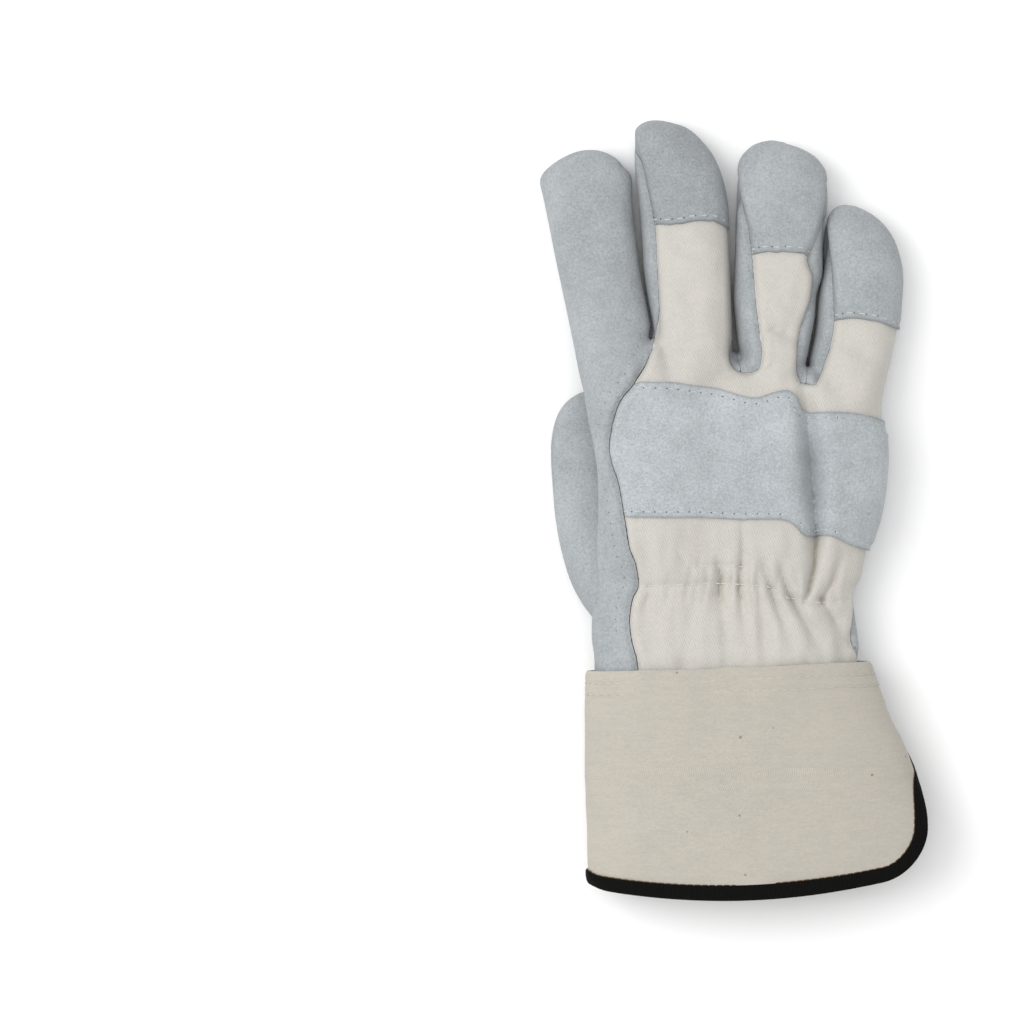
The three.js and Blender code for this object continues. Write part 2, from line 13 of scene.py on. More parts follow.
import bpy
import numpy as np
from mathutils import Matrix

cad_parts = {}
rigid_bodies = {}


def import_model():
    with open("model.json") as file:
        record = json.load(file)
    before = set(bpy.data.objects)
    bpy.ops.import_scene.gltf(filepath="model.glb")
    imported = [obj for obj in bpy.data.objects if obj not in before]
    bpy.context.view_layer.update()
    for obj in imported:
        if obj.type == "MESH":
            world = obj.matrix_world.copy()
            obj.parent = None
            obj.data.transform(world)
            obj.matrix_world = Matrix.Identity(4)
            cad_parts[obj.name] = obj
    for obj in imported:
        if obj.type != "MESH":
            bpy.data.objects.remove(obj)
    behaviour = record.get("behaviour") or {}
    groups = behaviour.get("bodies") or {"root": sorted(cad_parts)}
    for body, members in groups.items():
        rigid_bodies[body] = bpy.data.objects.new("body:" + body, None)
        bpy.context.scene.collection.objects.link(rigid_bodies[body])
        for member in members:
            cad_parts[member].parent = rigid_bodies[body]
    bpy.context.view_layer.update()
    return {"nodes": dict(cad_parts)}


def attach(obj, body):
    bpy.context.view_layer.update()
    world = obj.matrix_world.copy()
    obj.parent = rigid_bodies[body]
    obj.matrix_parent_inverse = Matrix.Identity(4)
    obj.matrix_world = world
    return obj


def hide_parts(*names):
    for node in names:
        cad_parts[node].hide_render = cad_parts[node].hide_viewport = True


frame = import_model()
print("nodes:", sorted(frame["nodes"]))

# %% [markdown]
# ## Sizes
#
# Blender's unit is a metre, and a leather wall of 0.0014 of them is hard to read. So everything is
# worked out in millimetres and scaled when a mesh is made. The photograph is taken from far off, so
# one of its pixels is the same length all over.

# %% Named sizes
MM = 0.001
PIXEL = 0.36  # millimetres on the glove for one pixel of the photograph
PHOTO_PIXELS = 1024
PHOTO_CENTRE = (-80.3, -0.9)  # the point of the floor under the middle of the photograph
VOXEL = 0.7
LEATHER = 1.4  # thickness of the split leather
STRAP_LEATHER = 1.3
CAP_LEATHER = 1.6
TONGUE_LEATHER = 1.1
COTTON = 0.9
CANVAS = 1.7  # the cuff's two plies
GAP = 0.3
STITCH_PITCH = 4.05
EDGE_MARGIN = 1.9  # from a raw leather edge to its row of stitches
HALF_SLOT = 0.07  # half of the gap that two sewn panels keep
print("frame of the photograph:", PIXEL * PHOTO_PIXELS, "mm")

# %% [markdown]
# ## Camera
#
# The camera looks straight down, and the glove's sides hardly show. An orthographic camera would
# hide them altogether. A long lens far off is nearer to what a product photographer uses.

# %% Camera over the glove
LENS = 200
SENSOR = 36
camera = bpy.data.objects.new("camera", bpy.data.cameras.new("camera"))
camera.data.lens = LENS
camera.data.sensor_width = SENSOR
distance = PIXEL * PHOTO_PIXELS * LENS / SENSOR
MID_HEIGHT = 20
camera.location = (PHOTO_CENTRE[0] * MM, PHOTO_CENTRE[1] * MM, (distance + MID_HEIGHT) * MM)
camera.data.clip_end = 20
bpy.context.collection.objects.link(camera)
bpy.context.scene.camera = camera
print("camera height:", round(distance), "mm")

# %% [markdown]
# ## Sections of the hand and fingers
#
# The hand and the fingers of an empty glove are soft tubes. They could be sculpted, but then their
# outline would drift from the photograph. Short tables hold it instead: the left and right edges,
# the underside and the top at each place along the glove, with a smooth curve run through them.

# %% Section tables
HAND = [  # along, left, right, under, top
    (-70, -50.4, 43.4, 4.3, 33.6), (-53.6, -50.4, 44, 4.3, 33.2), (-49, -51.2, 44.6, -0.4, 32.4),
    (-42, -51.5, 43.6, -1.5, 32.4), (-30, -50.5, 42.7, -1.5, 32.6), (-24, -50.1, 45.4, -1.5, 33.4),
    (-14, -49.8, 47.4, -1.5, 35), (0, -49.5, 51.4, -1.5, 36.6), (16, -49.9, 53.4, -1.5, 37.4),
    (31, -52.8, 53, -1.5, 35.8), (41, -54.4, 52.4, -1, 33.4), (47, -53.4, 51, 2.2, 29.4),
    (50.5, -49.6, 47.2, 8.5, 22),
]
INDEX = [
    (30, -51, -27.5, 3, 31), (46, -55.2, -27.2, -0.6, 30.8), (61, -58.1, -31, -1.5, 28.5),
    (76, -61.2, -33.3, -1.5, 26.5), (90, -64.2, -35.2, -1.5, 25), (102, -66.6, -36.4, -1.5, 23.4),
    (113, -68.9, -37, -1, 21.2), (119, -70.3, -37.6, 0, 19.4), (123, -67.8, -39.2, 1.2, 17.6),
    (126.6, -63, -42.2, 3, 15.6), (128.9, -58.2, -46, 5, 13.6),
    (130, -54.4, -49.8, 7.6, 11.2),
]
MIDDLE = [
    (30, -26, -2, 3, 31), (46, -29.8, 1.2, -0.6, 31.4), (61, -29.4, -0.5, -1.5, 29.5),
    (74, -30.6, -1.4, -1.5, 27.4), (88, -32.2, -2, -1.5, 26), (102, -33.8, -2.4, -1.5, 24.4),
    (117, -35.4, -4.6, -1, 22.2), (126, -36, -7.8, 0, 20.2), (132, -36, -12, 1.2, 18.2),
    (136.8, -35, -17.2, 3.2, 16), (138.7, -32.8, -22.8, 5.6, 13.6), (139.7, -30.4, -26.4, 8, 11.4),
]
RING = [
    (30, 4, 22, 3, 31), (46, 2.4, 24.2, -0.6, 31.2), (62, 1.4, 26.8, -1.5, 28.6),
    (76, 1, 28.9, -1.5, 26.6), (90, 0.9, 31, -1.5, 25.4), (102, 0.9, 32.6, -1.5, 24),
    (112, 1, 34.2, -1, 22.4), (120, 1.4, 33.2, 0, 20.6), (126, 2.9, 29.6, 1.2, 18.6),
    (129.4, 5.6, 24.4, 3.4, 16.2), (131.4, 8.6, 18.8, 6, 13.6), (132.3, 11.6, 15.4, 8.2, 11.6),
]
LITTLE = [
    (26, 29, 50, 3, 29), (43, 26.6, 53.6, -0.6, 29), (62, 29.2, 58, -1.5, 25.8),
    (74, 31.2, 59.4, -1.5, 24), (84, 32.5, 60, -1.5, 22.8), (92.4, 33.6, 58.6, -1, 21.4),
    (99.4, 34.4, 55.6, 0, 19.6), (105, 35, 50.4, 2.4, 17), (108.2, 36.2, 45, 5.2, 13.8),
    (109.3, 38.4, 42.2, 7.8, 11.4),
]
THUMB = [
    (-40, -50, -33, 3, 19), (-34, -54.6, -29, 0, 23), (-26, -58.8, -27, -1.5, 24.6),
    (-16, -61.9, -26, -1.5, 23), (-5, -64.3, -26, -1.5, 19.4), (7, -65.3, -27, -1.5, 16.4),
    (19, -66, -29, -1.5, 16), (27, -65.6, -31.4, -1.2, 15.6), (34.4, -63.6, -35, 0, 14.6),
    (39.2, -60.2, -39.6, 2, 12.8), (42, -56.2, -44.6, 4.4, 10.6), (43.4, -52.6, -48.4, 6.2, 8.8),
]
WEBS = [  # between two fingers the hand reaches a little further
    [(36, -40, -18, 3, 31), (50, -38, -21, 2, 30.4), (56, -35, -24, 4, 28.6),
     (59.4, -32, -26.4, 8, 25), (60.6, -30.2, -28.2, 13, 20)],
    [(34, -7, 11, 3, 31), (45, -5, 9, 3, 30.4), (49.5, -3, 6.5, 6, 27),
     (52, -0.6, 3.6, 10, 23), (52.9, 0.6, 2.2, 14, 19)],
    [(32, 16, 36, 3, 29), (43, 18, 33, 3, 28), (47.5, 21.5, 29.5, 7, 24),
     (49.6, 24.2, 26.6, 12, 19)],
]
FINGERS = {"index": INDEX, "middle": MIDDLE, "ring": RING, "little": LITTLE}
print("sections:", sum(len(table) for table in (HAND, THUMB, *FINGERS.values())))

# %% [markdown]
# ## Seams seen from above
#
# A glove is sewn inside out and turned, so a seam is a line on its outside where two panels dive
# under. Seams could be edges of a mesh, but then every change to one would mean new topology. Here
# they are outlines in plan, and the mesh is cut along them later.

# %% Seam outlines
THUMB_SIDE_SEAM = [
    (-35.3, -72), (-35.5, -56), (-37.7, -46.7), (-38.5, -39), (-37.4, -32), (-35.2, -27.4), (-36.4, -19.7),
    (-38.9, -13.9), (-41, -0.4), (-42.7, 9.2), (-45.1, 16), (-46.1, 21.8), (-45.6, 26.6), (-43.6, 34.3),
    (-40.8, 40.1), (-36, 46), (-31.1, 56.8), (-28.8, 63), (-28.4, 76), (-28.8, 88), (-29.4, 101),
    (-32.2, 115.6), (-34, 124), (-36.4, 132), (-38, 146),
]
RING_FORK = [
    (0, 146), (-0.6, 100), (-0.4, 66), (-0.9, 60), (-1.2, 56.5), (-1, 53.6), (0.2, 51.2), (2.4, 49.9),
    (5.2, 49.7), (7.6, 50.9), (8.6, 55), (8.6, 59), (7.5, 68), (6.3, 82), (5.4, 91.5), (4.1, 101),
    (2.6, 107), (0.6, 117), (-0.5, 140),
]
LITTLE_FORK = [
    (36, 140), (34.6, 118), (33.6, 111), (31, 101), (26.7, 90.5), (28.7, 84), (28.2, 76), (25.3, 68.3),
    (23.4, 62.6), (22.9, 51), (23.4, 46.6), (24.6, 45.6), (28.7, 45.7), (30.6, 51), (33.5, 58.7), (34.9, 67),
    (34.6, 77), (34, 86), (33, 95), (32.4, 106), (34, 118),
]
CAP_EDGES = {  # the lower edge of each fingertip's leather cap
    "middle": [(-36, 103), (-29.7, 102.6), (-23.4, 102.3), (-15.7, 103.4), (-8, 103.8), (-2.6, 100.9),
               (4, 99)],
    "ring": [(-2, 90), (5.8, 91.4), (9.4, 92.3), (16, 92.5), (24, 92.2), (26.7, 90.6), (34, 89)],
    "little": [(28, 68), (34.7, 68), (40, 68.5), (46, 68.3), (53, 67), (58.6, 65), (66, 63)],
}
STRAP = [
    (-40.4, -2.6), (-29, -2.8), (-14, -2.8), (0, -3.5), (9.5, -3.4), (17, -3.7), (21, -6), (23.4, -8.8),
    (26.7, -9.7), (33.5, -9.3), (40, -12.2), (48.5, -15), (66, -16), (66, 27), (56, 28.4), (54, 30.2),
    (51.8, 32.2), (43, 34.3), (34, 34.8), (24.5, 34.9), (22.4, 37), (21.2, 40), (18, 42.4), (13, 41.5),
    (7.5, 39.7), (2.6, 40.2), (-6, 42.6), (-15, 44), (-23.5, 45), (-36.2, 45.4), (-50, 45.4), (-50, -2.6),
]
PALM_BASE_SEAM = [(-31, 45.4), (-14, 44.6), (2, 42.8), (13, 40.6), (25, 38.2), (29, 38)]
GAPS = {  # between two fingers: place along, and where the left finger ends and the right one begins
    ("index", "middle"): [(30, -28.2, -28.2), (45, -28.2, -28.2), (58, -29.2, -28.8), (64, -29.9, -29.2),
                          (72, -31.2, -30.6), (80, -32.8, -32), (88, -34.3, -33), (96, -35.2, -33.3),
                          (104, -36.2, -33.8), (112, -36.8, -34.4), (118, -36.9, -35.2),
                          (123, -37.4, -35.8), (150, -39, -37)],
    ("middle", "ring"): [(30, 1, 1), (43, 2, 2), (50, 1.6, 2.2), (56, -0.3, 1.5), (60.7, -0.6, 1.0),
     (68, -0.8, 0.2),
                         (76, -1.1, -0.5), (84, -1.4, -0.1), (92, -1.8, 0.3), (100, -2.3, 0.6),
                         (108, -3.2, 0.8), (150, -4, 0)],
    ("ring", "little"): [(30, 25, 25), (45, 25, 25), (54.6, 25.9, 27.1), (60.7, 27.2, 28.5),
     (68.3, 28.6, 29.9),
                         (78, 29.9, 30.9), (85, 31.7, 32.3), (92, 31.9, 32.5), (100, 32.3, 32.8),
                         (103, 32.5, 33.4),
                         (105, 32.8, 34.4), (107, 33.3, 35.4), (109, 33.7, 36.7), (112, 34, 38),
                         (120, 36, 40),
                         (150, 41, 43)],
}
GAP_REACH = {("index", "middle"): (59.5, 124), ("middle", "ring"): (52, 109), ("ring", "little"): (50, 108)}
CLEARANCE = 0.3  # that each finger keeps from the middle of a gap
BETWEEN = {pair: [(along, (left + right) / 2) for along, left, right in rows] for pair, rows in GAPS.items()}
TONGUE = [
    (-34.6, -49.4), (45, -47.4), (45.4, -72), (43.6, -78), (38.6, -82.4), (30, -84.4), (0, -85.4),
    (-18, -84.8), (-26.6, -82), (-32.4, -76.4), (-34.6, -68),
]
print("seam points:", len(THUMB_SIDE_SEAM) + len(RING_FORK) + len(LITTLE_FORK) + len(STRAP))

# %% [markdown]
# ## Folds
#
# The tucked thumb lifts the palm on its side. An elastic inside the wrist gathers the cotton, and
# the slack runs up the back as folds. A cloth simulation makes folds of its own, never these ones.
# So each is a run of points with a depth and a spread, pressed in with a bell-shaped profile.

# %% Folds, gathers and the lift over the thumb
FOLDS = [  # wide valleys: across, along, depth, spread
    [(24, 46, 1, 3.2), (25.2, 36, 5, 3.8), (26.8, 18, 9.6, 4.3), (27.8, 4, 8.8, 4),
     (28.9, -8, 5.6, 3), (28.5, -18, 3.2, 2.8), (26.2, -30, 1.8, 2.6), (23.5, -38, 0, 3)],
    [(1.9, -4, 0.2, 2), (2.2, -14, 0.8, 1.8), (1.4, -22, 1.6, 1.9), (1, -28, 1.9, 2),
     (2.8, -38, 1.7, 2.6), (4.8, -54, 0.9, 3)],
    [(-7.4, -16, 0.1, 1.6), (-6.4, -20, 1.1, 1.7), (-5.4, -25, 1.8, 1.9), (-5.8, -31, 1.7, 2),
     (-4, -40, 1.3, 2.8), (-3, -54, 0.5, 3)],
    [(9, -15, 0.1, 2), (10.4, -22, 1.4, 1.9), (12.2, -28, 1.9, 2), (13.9, -33, 2, 2.2),
     (17, -39, 1.8, 2.6), (20, -48, 0.9, 3)],
    [(15, -15, 0.2, 2), (16.6, -23, 1.6, 1.9), (18.7, -30, 2.2, 2), (22.9, -37, 2.4, 2.4),
     (27.4, -44, 2.1, 2.8), (31, -53, 1.1, 3)],
    [(38.4, -15, 0.2, 2), (35.2, -25, 1.7, 2.1), (31.6, -32, 1.6, 2.3), (26, -34, 0.6, 2.4),
     (21, -34, 0.2, 2)],
    [(31.8, -33, 1.4, 2.3), (36, -40, 2.2, 2.7), (40, -48, 1.3, 3)],
    [(9.4, -34, 1.2, 2.3), (9.9, -42, 1.7, 2.7), (10.2, -54, 1, 3)],
    [(-14, -29, 0.8, 2.4), (-15.4, -38, 1.2, 2.9), (-17, -54, 0.7, 3.4)],
    [(-25, -28, 0.6, 3), (-28, -38, 1, 3.4), (-30, -50, 0.4, 4)],
    [(13, 66, 0.8, 2.6), (18, 63.6, 1.9, 3), (24, 60, 0.8, 2.6)],
    [(-26, 56, 0.6, 3), (-19, 58.6, 1.5, 3.4), (-12, 60, 0.6, 3)],
    [(-26, 98, 0.6, 3), (-19, 94, 1.8, 3.6), (-10, 92, 0.5, 3)],
    [(-24, 80, 0.5, 3.4), (-17, 77, 1.2, 3.8), (-8, 79, 0.4, 3.4)],
    [(8, 84, 0.5, 3), (15, 81, 1.5, 3.4), (21, 80, 0.5, 3)],
    [(10, 73, 0.4, 2.6), (17, 74.6, 1.2, 2.8), (23, 73, 0.4, 2.6)],
    [(38, 60, 0.8, 3), (46, 56, 1.7, 3.6), (54, 54, 0.6, 3)],
    [(-37, 36, 0.3, 4), (-24, 30, 1, 6), (-12, 26, 0.3, 5)],
    [(-16, 12, 0.3, 4), (-2, 18, 1.1, 6), (8, 26, 0.3, 5)],
]
CREASES = [  # narrow ones that show as lines
    [(28.9, -4, 0.6, 1), (28.8, -12, 1.8, 0.9), (28.2, -20, 1.8, 0.9), (26.2, -29, 1.7, 0.9),
     (24.4, -34, 0.7, 1), (24.8, -40, 0, 1.1)],
    [(1.8, -4, 0.4, 0.8), (2.3, -15, 0.8, 0.8), (1.4, -22, 1.3, 0.85), (1, -28.5, 1.5, 0.85),
     (2.2, -34, 0.6, 1), (3.4, -44, 0, 1.2)],
    [(-7.6, -16, 0, 1), (-6.6, -19.6, 0.8, 0.9), (-5.3, -24, 1.5, 0.85), (-5.8, -30, 1.5, 0.85),
     (-4.4, -37, 0.4, 1.1), (-3.6, -44, 0, 1.2)],
    [(-2.2, -20, 0.3, 0.8), (-1.8, -24.5, 1, 0.8), (-2.2, -28.5, 0.9, 0.8), (-1.4, -34, 0, 1)],
    [(4.9, -18, 0.1, 0.9), (4.4, -25, 0.8, 0.8), (4.8, -29, 0.8, 0.8), (6.2, -36, 0.1, 1)],
    [(9.6, -17, 0, 1), (10.4, -21.5, 0.6, 0.9), (12, -27.5, 1.2, 0.85), (13.8, -33, 1.1, 0.9),
     (16.5, -39, 0.4, 1.1), (18.4, -45, 0, 1.2)],
    [(15.2, -17, 0, 1), (16.4, -22, 0.6, 0.9), (18.5, -29.5, 1.3, 0.9), (22.6, -36.8, 1.3, 0.9),
     (26, -42, 0.6, 1.1), (29, -48, 0, 1.2)],
    [(7.6, -19, 0.1, 1), (7.2, -25, 0.8, 0.85), (8.4, -31, 0.8, 0.85), (9, -37, 0, 1)],
    [(30.6, -32, 0.9, 0.95), (35.5, -40, 0.9, 1.1), (38, -46, 0, 1.2)],
    [(37.5, -17, 0, 1.2), (34.6, -26, 1, 0.95), (31.2, -32.4, 1.1, 0.95)],
    [(20.6, -20, 0, 1), (22.2, -26, 0.8, 0.95), (22.6, -31.5, 0.5, 0.95)],
    [(-10.8, -19, 0.1, 1.2), (-10.5, -25, 0.8, 0.95), (-12, -33, 0.6, 1.1), (-12.6, -40, 0, 1.3)],
    [(-16, -22, 0.3, 1.1), (-18, -30, 0.7, 1.1), (-18, -37, 0, 1.3)],
    [(-18.4, -19.2, 0.6, 1), (-21, -15, 0.6, 1.2), (-27, -10, 0, 1.5)],
    [(-13.4, -20, 0.6, 1), (-12.4, -14, 0, 1.2)],
    [(-24, -24, 0.3, 1.2), (-24.6, -31, 0.6, 1.2), (-26, -38, 0, 1.4)],
    [(-30, -25, 0.3, 1.2), (-31, -31, 0.6, 1.2), (-33, -38, 0, 1.4)],
    [(36.6, -33, 0.6, 1), (39.6, -38, 0, 1.2)],
    [(14.4, -27.6, 0.5, 0.9), (14.6, -22, 0, 1)], [(9.4, 62, 0.6, 1), (14, 64.8, 0.6, 1.1)],
    [(8, 47, 0.3, 1.1), (13, 51.5, 0.6, 1.1)],
    [(-27, 50, 0.2, 1.2), (-20, 52.6, 0.6, 1.3), (-13, 53, 0, 1.4)],
    [(33, 41, 0, 1.2), (39, 44, 0.6, 1.3), (46, 44.6, 0, 1.4)],
    [(-27.6, 68, 0, 1.2), (-22, 71, 0.5, 1.4), (-16, 76, 0, 1.4)],
]
ELASTIC = {  # rows of stitches over the elastic, across and along
    "upper": [(-17, -20.2), (-9, -20.4), (-5, -20), (3, -20.6)],
    "lower": [(-34, -27.4), (-20, -27), (-8, -26.4), (2, -26.8), (9, -27.3), (13, -28), (17.6, -31.4),
              (24, -32.6), (31.7, -33.7), (40.7, -33.2)],
}
GATHER = {"along": -28, "reach": 8, "left": -12, "right": 42, "pitch": 5.6, "height": 0.3}
WRINKLES = [  # the cloth's unevenness: how far a bump reaches across and along, its height and its seed
    (19, 16, 0.9, 3), (8, 11, 0.55, 5), (3.8, 5.5, 0.16, 8),
]
WRIST_WRINKLES = [(6.5, 26, 1.0, 11), (3.2, 15, 0.4, 12)]
LIFT = {"height": 17.2, "full": -30, "none": -4, "squeeze": 0.62, "body": 36}
LIFT_START = (-44, 4)
LIFT_END = (26, 80)
SEAM_HEIGHT = 13
SEAM_SLOPE = -0.035
print("folds:", len(FOLDS), "creases:", len(CREASES))

# %% [markdown]
# ## Lofts
#
# A finger's section is a rounded box, a little fuller than an ellipse and fuller still underneath,
# where it lies on the floor. A bevelled curve keeps one section all along, so rings of points are
# joined along the table into a closed form instead.

# %% Helpers for lofts
def smooth_step(low, high, value):
    share = np.clip((np.asarray(value, float) - low) / (high - low), 0, 1)
    return share * share * (3 - 2 * share)


def spline(rows, steps):
    """A smooth curve through rows of numbers."""
    rows = np.asarray(rows, float)
    ends = np.vstack([2 * rows[0] - rows[1], rows, 2 * rows[-1] - rows[-2]])
    place = np.linspace(0, len(rows) - 1, steps)
    i = np.minimum(place.astype(int), len(rows) - 2)
    t = (place - i)[:, None]
    a, b, c, d = ends[i], ends[i + 1], ends[i + 2], ends[i + 3]
    return 0.5 * (2 * b + (c - a) * t + (2 * a - 5 * b + 4 * c - d) * t**2 + (3 * b - a - 3 * c + d) * t**3)


def line_at(line, place):
    line = np.asarray(line, float)
    return np.interp(place, line[:, 0], line[:, 1])


def round_point(angle, half_width, half_height):
    fullness = np.where(np.sin(angle) < 0, 2.8, 2.3)

    def power(value):
        return np.sign(value) * np.abs(value) ** (2 / fullness)

    return half_width * power(np.cos(angle)), half_height * power(np.sin(angle))


def loft(rows, rings=80, around=96):
    rows = spline(rows, rings)
    angles = np.linspace(0, 2 * math.pi, around, endpoint=False)
    points = []
    for along, left, right, under, top in rows:
        across, up = round_point(angles, (right - left) / 2, (top - under) / 2)
        height = np.maximum((top + under) / 2 + up, 0)
        points.append(np.column_stack([(left + right) / 2 + across, np.full(around, along), height]))
    index = np.arange(rings * around).reshape(rings, around)
    step = np.roll(index, -1, axis=1)
    faces = np.stack([index[:-1], step[:-1], step[1:], index[1:]], axis=-1).reshape(-1, 4).tolist()
    faces += [index[0, ::-1].tolist(), index[-1].tolist()]
    return np.vstack(points), faces


thumb_points, thumb_faces = loft(THUMB)
print("one loft:", len(thumb_points), "points")

# %% [markdown]
# ## From lofts to one body
#
# The hand and the four fingers overlap, so they are fused with a voxel remesh, which also gives
# even faces all over. Its steps are then smoothed out by moving each point towards its neighbours.

# %% Helpers for meshes
def read_mesh(mesh):
    points = np.empty(len(mesh.vertices) * 3)
    mesh.vertices.foreach_get("co", points)
    mesh.calc_loop_triangles()
    triangles = np.empty(len(mesh.loop_triangles) * 3, np.int64)
    mesh.loop_triangles.foreach_get("vertices", triangles)
    return points.reshape(-1, 3) / MM, triangles.reshape(-1, 3)


def new_object(name, points, faces, edges=()):
    mesh = bpy.data.meshes.new(name)
    faces = faces.tolist() if isinstance(faces, np.ndarray) else faces
    mesh.from_pydata((np.asarray(points) * MM).tolist(), edges, faces)
    made = bpy.data.objects.new(name, mesh)
    bpy.context.collection.objects.link(made)
    return made


def settle(made):
    """Turns an object's modifiers into plain mesh."""
    depsgraph = bpy.context.evaluated_depsgraph_get()
    mesh = bpy.data.meshes.new_from_object(made.evaluated_get(depsgraph))
    mesh.name = made.name
    made.modifiers.clear()
    made.data = mesh
    return made


def smooth(made, sharp):
    """Shades a mesh smooth, apart from edges that turn by more degrees than this."""
    made.data.shade_smooth()
    made.data.set_sharp_from_angle(angle=math.radians(sharp))
    return made


def thicken(made, thickness):
    """Gives a sheet its thickness, inwards."""
    solidify = made.modifiers.new("thickness", "SOLIDIFY")
    solidify.thickness = thickness * MM
    solidify.offset = -1
    return smooth(settle(made), 55)


def fuse(forms, voxel):
    """One even mesh round several overlapping closed forms."""
    points, faces, start = [], [], 0
    for form_points, form_faces in forms:
        faces += [[corner + start for corner in face] for face in form_faces]
        points.append(form_points)
        start += len(form_points)
    made = new_object("fused", np.vstack(points), faces)
    remesh = made.modifiers.new("fuse", "REMESH")
    remesh.mode = "VOXEL"
    remesh.voxel_size = voxel * MM
    points, triangles = read_mesh(settle(made).data)
    bpy.data.objects.remove(made)
    return points, triangles


def edges_of(triangles):
    return np.unique(np.sort(triangles[:, [0, 1, 1, 2, 2, 0]].reshape(-1, 2), axis=1), axis=0)


def relax(points, triangles, times, strength=0.5):
    a, b = edges_of(triangles).T
    count = np.bincount(a, minlength=len(points)) + np.bincount(b, minlength=len(points))
    points = points.copy()
    for _ in range(times):
        for axis in range(3):
            near = np.bincount(a, points[b, axis], len(points)) + np.bincount(b, points[a, axis], len(points))
            points[:, axis] += strength * (near / count - points[:, axis])
    return points


def normals_of(points, triangles):
    corners = points[triangles]
    faces = np.cross(corners[:, 1] - corners[:, 0], corners[:, 2] - corners[:, 0])
    normals = np.zeros_like(points)
    for corner in range(3):
        for axis in range(3):
            normals[:, axis] += np.bincount(triangles[:, corner], faces[:, axis], len(points))
    return normals / np.maximum(np.linalg.norm(normals, axis=1, keepdims=True), 1e-12)


# %% [markdown]
# ## Fusing and easing
#
# The fused body closes the narrow gaps between the fingers here and there, because a voxel can't
# be thinner than its step. So each finger's side is moved to where its gap begins in plan, and it
# always keeps a little clear of the gap's middle. Finer voxels would do it too, but slowly.

# %% Fuse the hand and fingers
ROUNDS, AT_VOXEL = 10, 0.8  # rounds of smoothing that suit this voxel
EASE = 4  # mm along the glove over which the easing sets in
FURTHEST = 14  # mm from a gap's middle that it reaches
PLACES = np.arange(151)  # each millimetre along the fingers
forms = [loft(HAND, 110, 160)] + [loft(table) for table in (*FINGERS.values(), *WEBS)]
body, body_faces = fuse(forms, VOXEL)
body = relax(body, body_faces, round(ROUNDS * (AT_VOXEL / VOXEL) ** 2))
for pair, table in GAPS.items():
    along, left, right = np.array(table, float).T
    first, last = GAP_REACH[pair]
    middle = (left + right) / 2
    from_line = body[:, 0] - np.interp(body[:, 1], along, middle)
    away = np.abs(from_line)
    place = np.clip(np.round(body[:, 1]).astype(int), 0, PLACES[-1])
    in_reach = smooth_step(first, first + EASE, body[:, 1]) * (1 - smooth_step(last - EASE, last, body[:, 1]))
    for side, edge in ((-1, left), (1, right)):
        on_side = from_line * side > 0
        nearest = np.full(len(PLACES), 6.0)
        facing = on_side & (body[:, 2] > 4)
        np.minimum.at(nearest, place[facing], away[facing])
        now = np.interp(body[:, 1], PLACES, np.convolve(nearest, np.ones(5) / 5, "same"))
        wanted = np.maximum(np.interp(body[:, 1], along, np.abs(edge - middle)), CLEARANCE)
        near = 1 - smooth_step(1.5, 8, away - now)
        moved = np.maximum(away + (wanted - now) * near, CLEARANCE)
        shift = (moved - away) * side * in_reach
        body[:, 0] += np.where(on_side & (away < FURTHEST), shift, 0)
print("body:", len(body), "points")

# %% [markdown]
# ## Fields
#
# Each seam is the zero line of a field: a number at every point that is positive on one side and
# negative on the other. Cutting, grooves, puckers and rows of stitches all come from such fields,
# so they always meet.

# %% Helpers for fields
def outline_field(outline, points):
    """Distance to an outline in plan, positive inside."""
    x, y = points[:, 0], points[:, 1]
    nearest = np.full(len(points), 1e9)
    inside = np.zeros(len(points), bool)
    outline = np.asarray(outline, float)
    for a, b in zip(outline, np.roll(outline, -1, axis=0)):
        run = b - a
        share = np.clip(((x - a[0]) * run[0] + (y - a[1]) * run[1]) / (run @ run), 0, 1)
        nearest = np.minimum(nearest, (x - a[0] - share * run[0]) ** 2 + (y - a[1] - share * run[1]) ** 2)
        if a[1] != b[1]:
            inside ^= ((a[1] > y) != (b[1] > y)) & (x < a[0] + (y - a[1]) * run[0] / run[1])
    return np.where(inside, 1, -1) * np.sqrt(nearest)


def bumps(x, y, seed):
    """Smooth random heights from -1 to 1, about one bump to a unit each way."""
    heights = np.random.default_rng(seed).uniform(-1, 1, (64, 64))
    i, j = np.floor(x).astype(int), np.floor(y).astype(int)
    s, t = smooth_step(0, 1, x - i), smooth_step(0, 1, y - j)
    near = heights[i % 64, j % 64] * (1 - s) + heights[(i + 1) % 64, j % 64] * s
    far = heights[i % 64, (j + 1) % 64] * (1 - s) + heights[(i + 1) % 64, (j + 1) % 64] * s
    return near * (1 - t) + far * t


def lift_at(x, y):
    start = smooth_step(*LIFT_START, y)
    end = 1 - smooth_step(*LIFT_END, y)
    return LIFT["height"] * (1 - smooth_step(LIFT["full"], LIFT["none"], x)) * start * end


def smooth_outline(line, steps):
    return [tuple(point) for point in spline(line, steps)]


def bell(distance, spread):
    return np.exp(-((distance / spread) ** 2))


# %% [markdown]
# ## The body's own fields
#
# "cover" is positive on the cotton's side of the seams and "tip" past the caps' lower edges. The
# others part the strap and the fingers' fronts. The side seam also has a height, where the back
# meets the palm.

# %% Fields of the body
cover_outline = [
    *smooth_outline(THUMB_SIDE_SEAM, 110), *smooth_outline(RING_FORK, 70),
    *smooth_outline(LITTLE_FORK, 90), (66, 118), (66, -72),
]
strap_outline = [
    *smooth_outline(STRAP[:12], 48), *STRAP[12:14], *smooth_outline(STRAP[14:30], 70), *STRAP[30:],
]


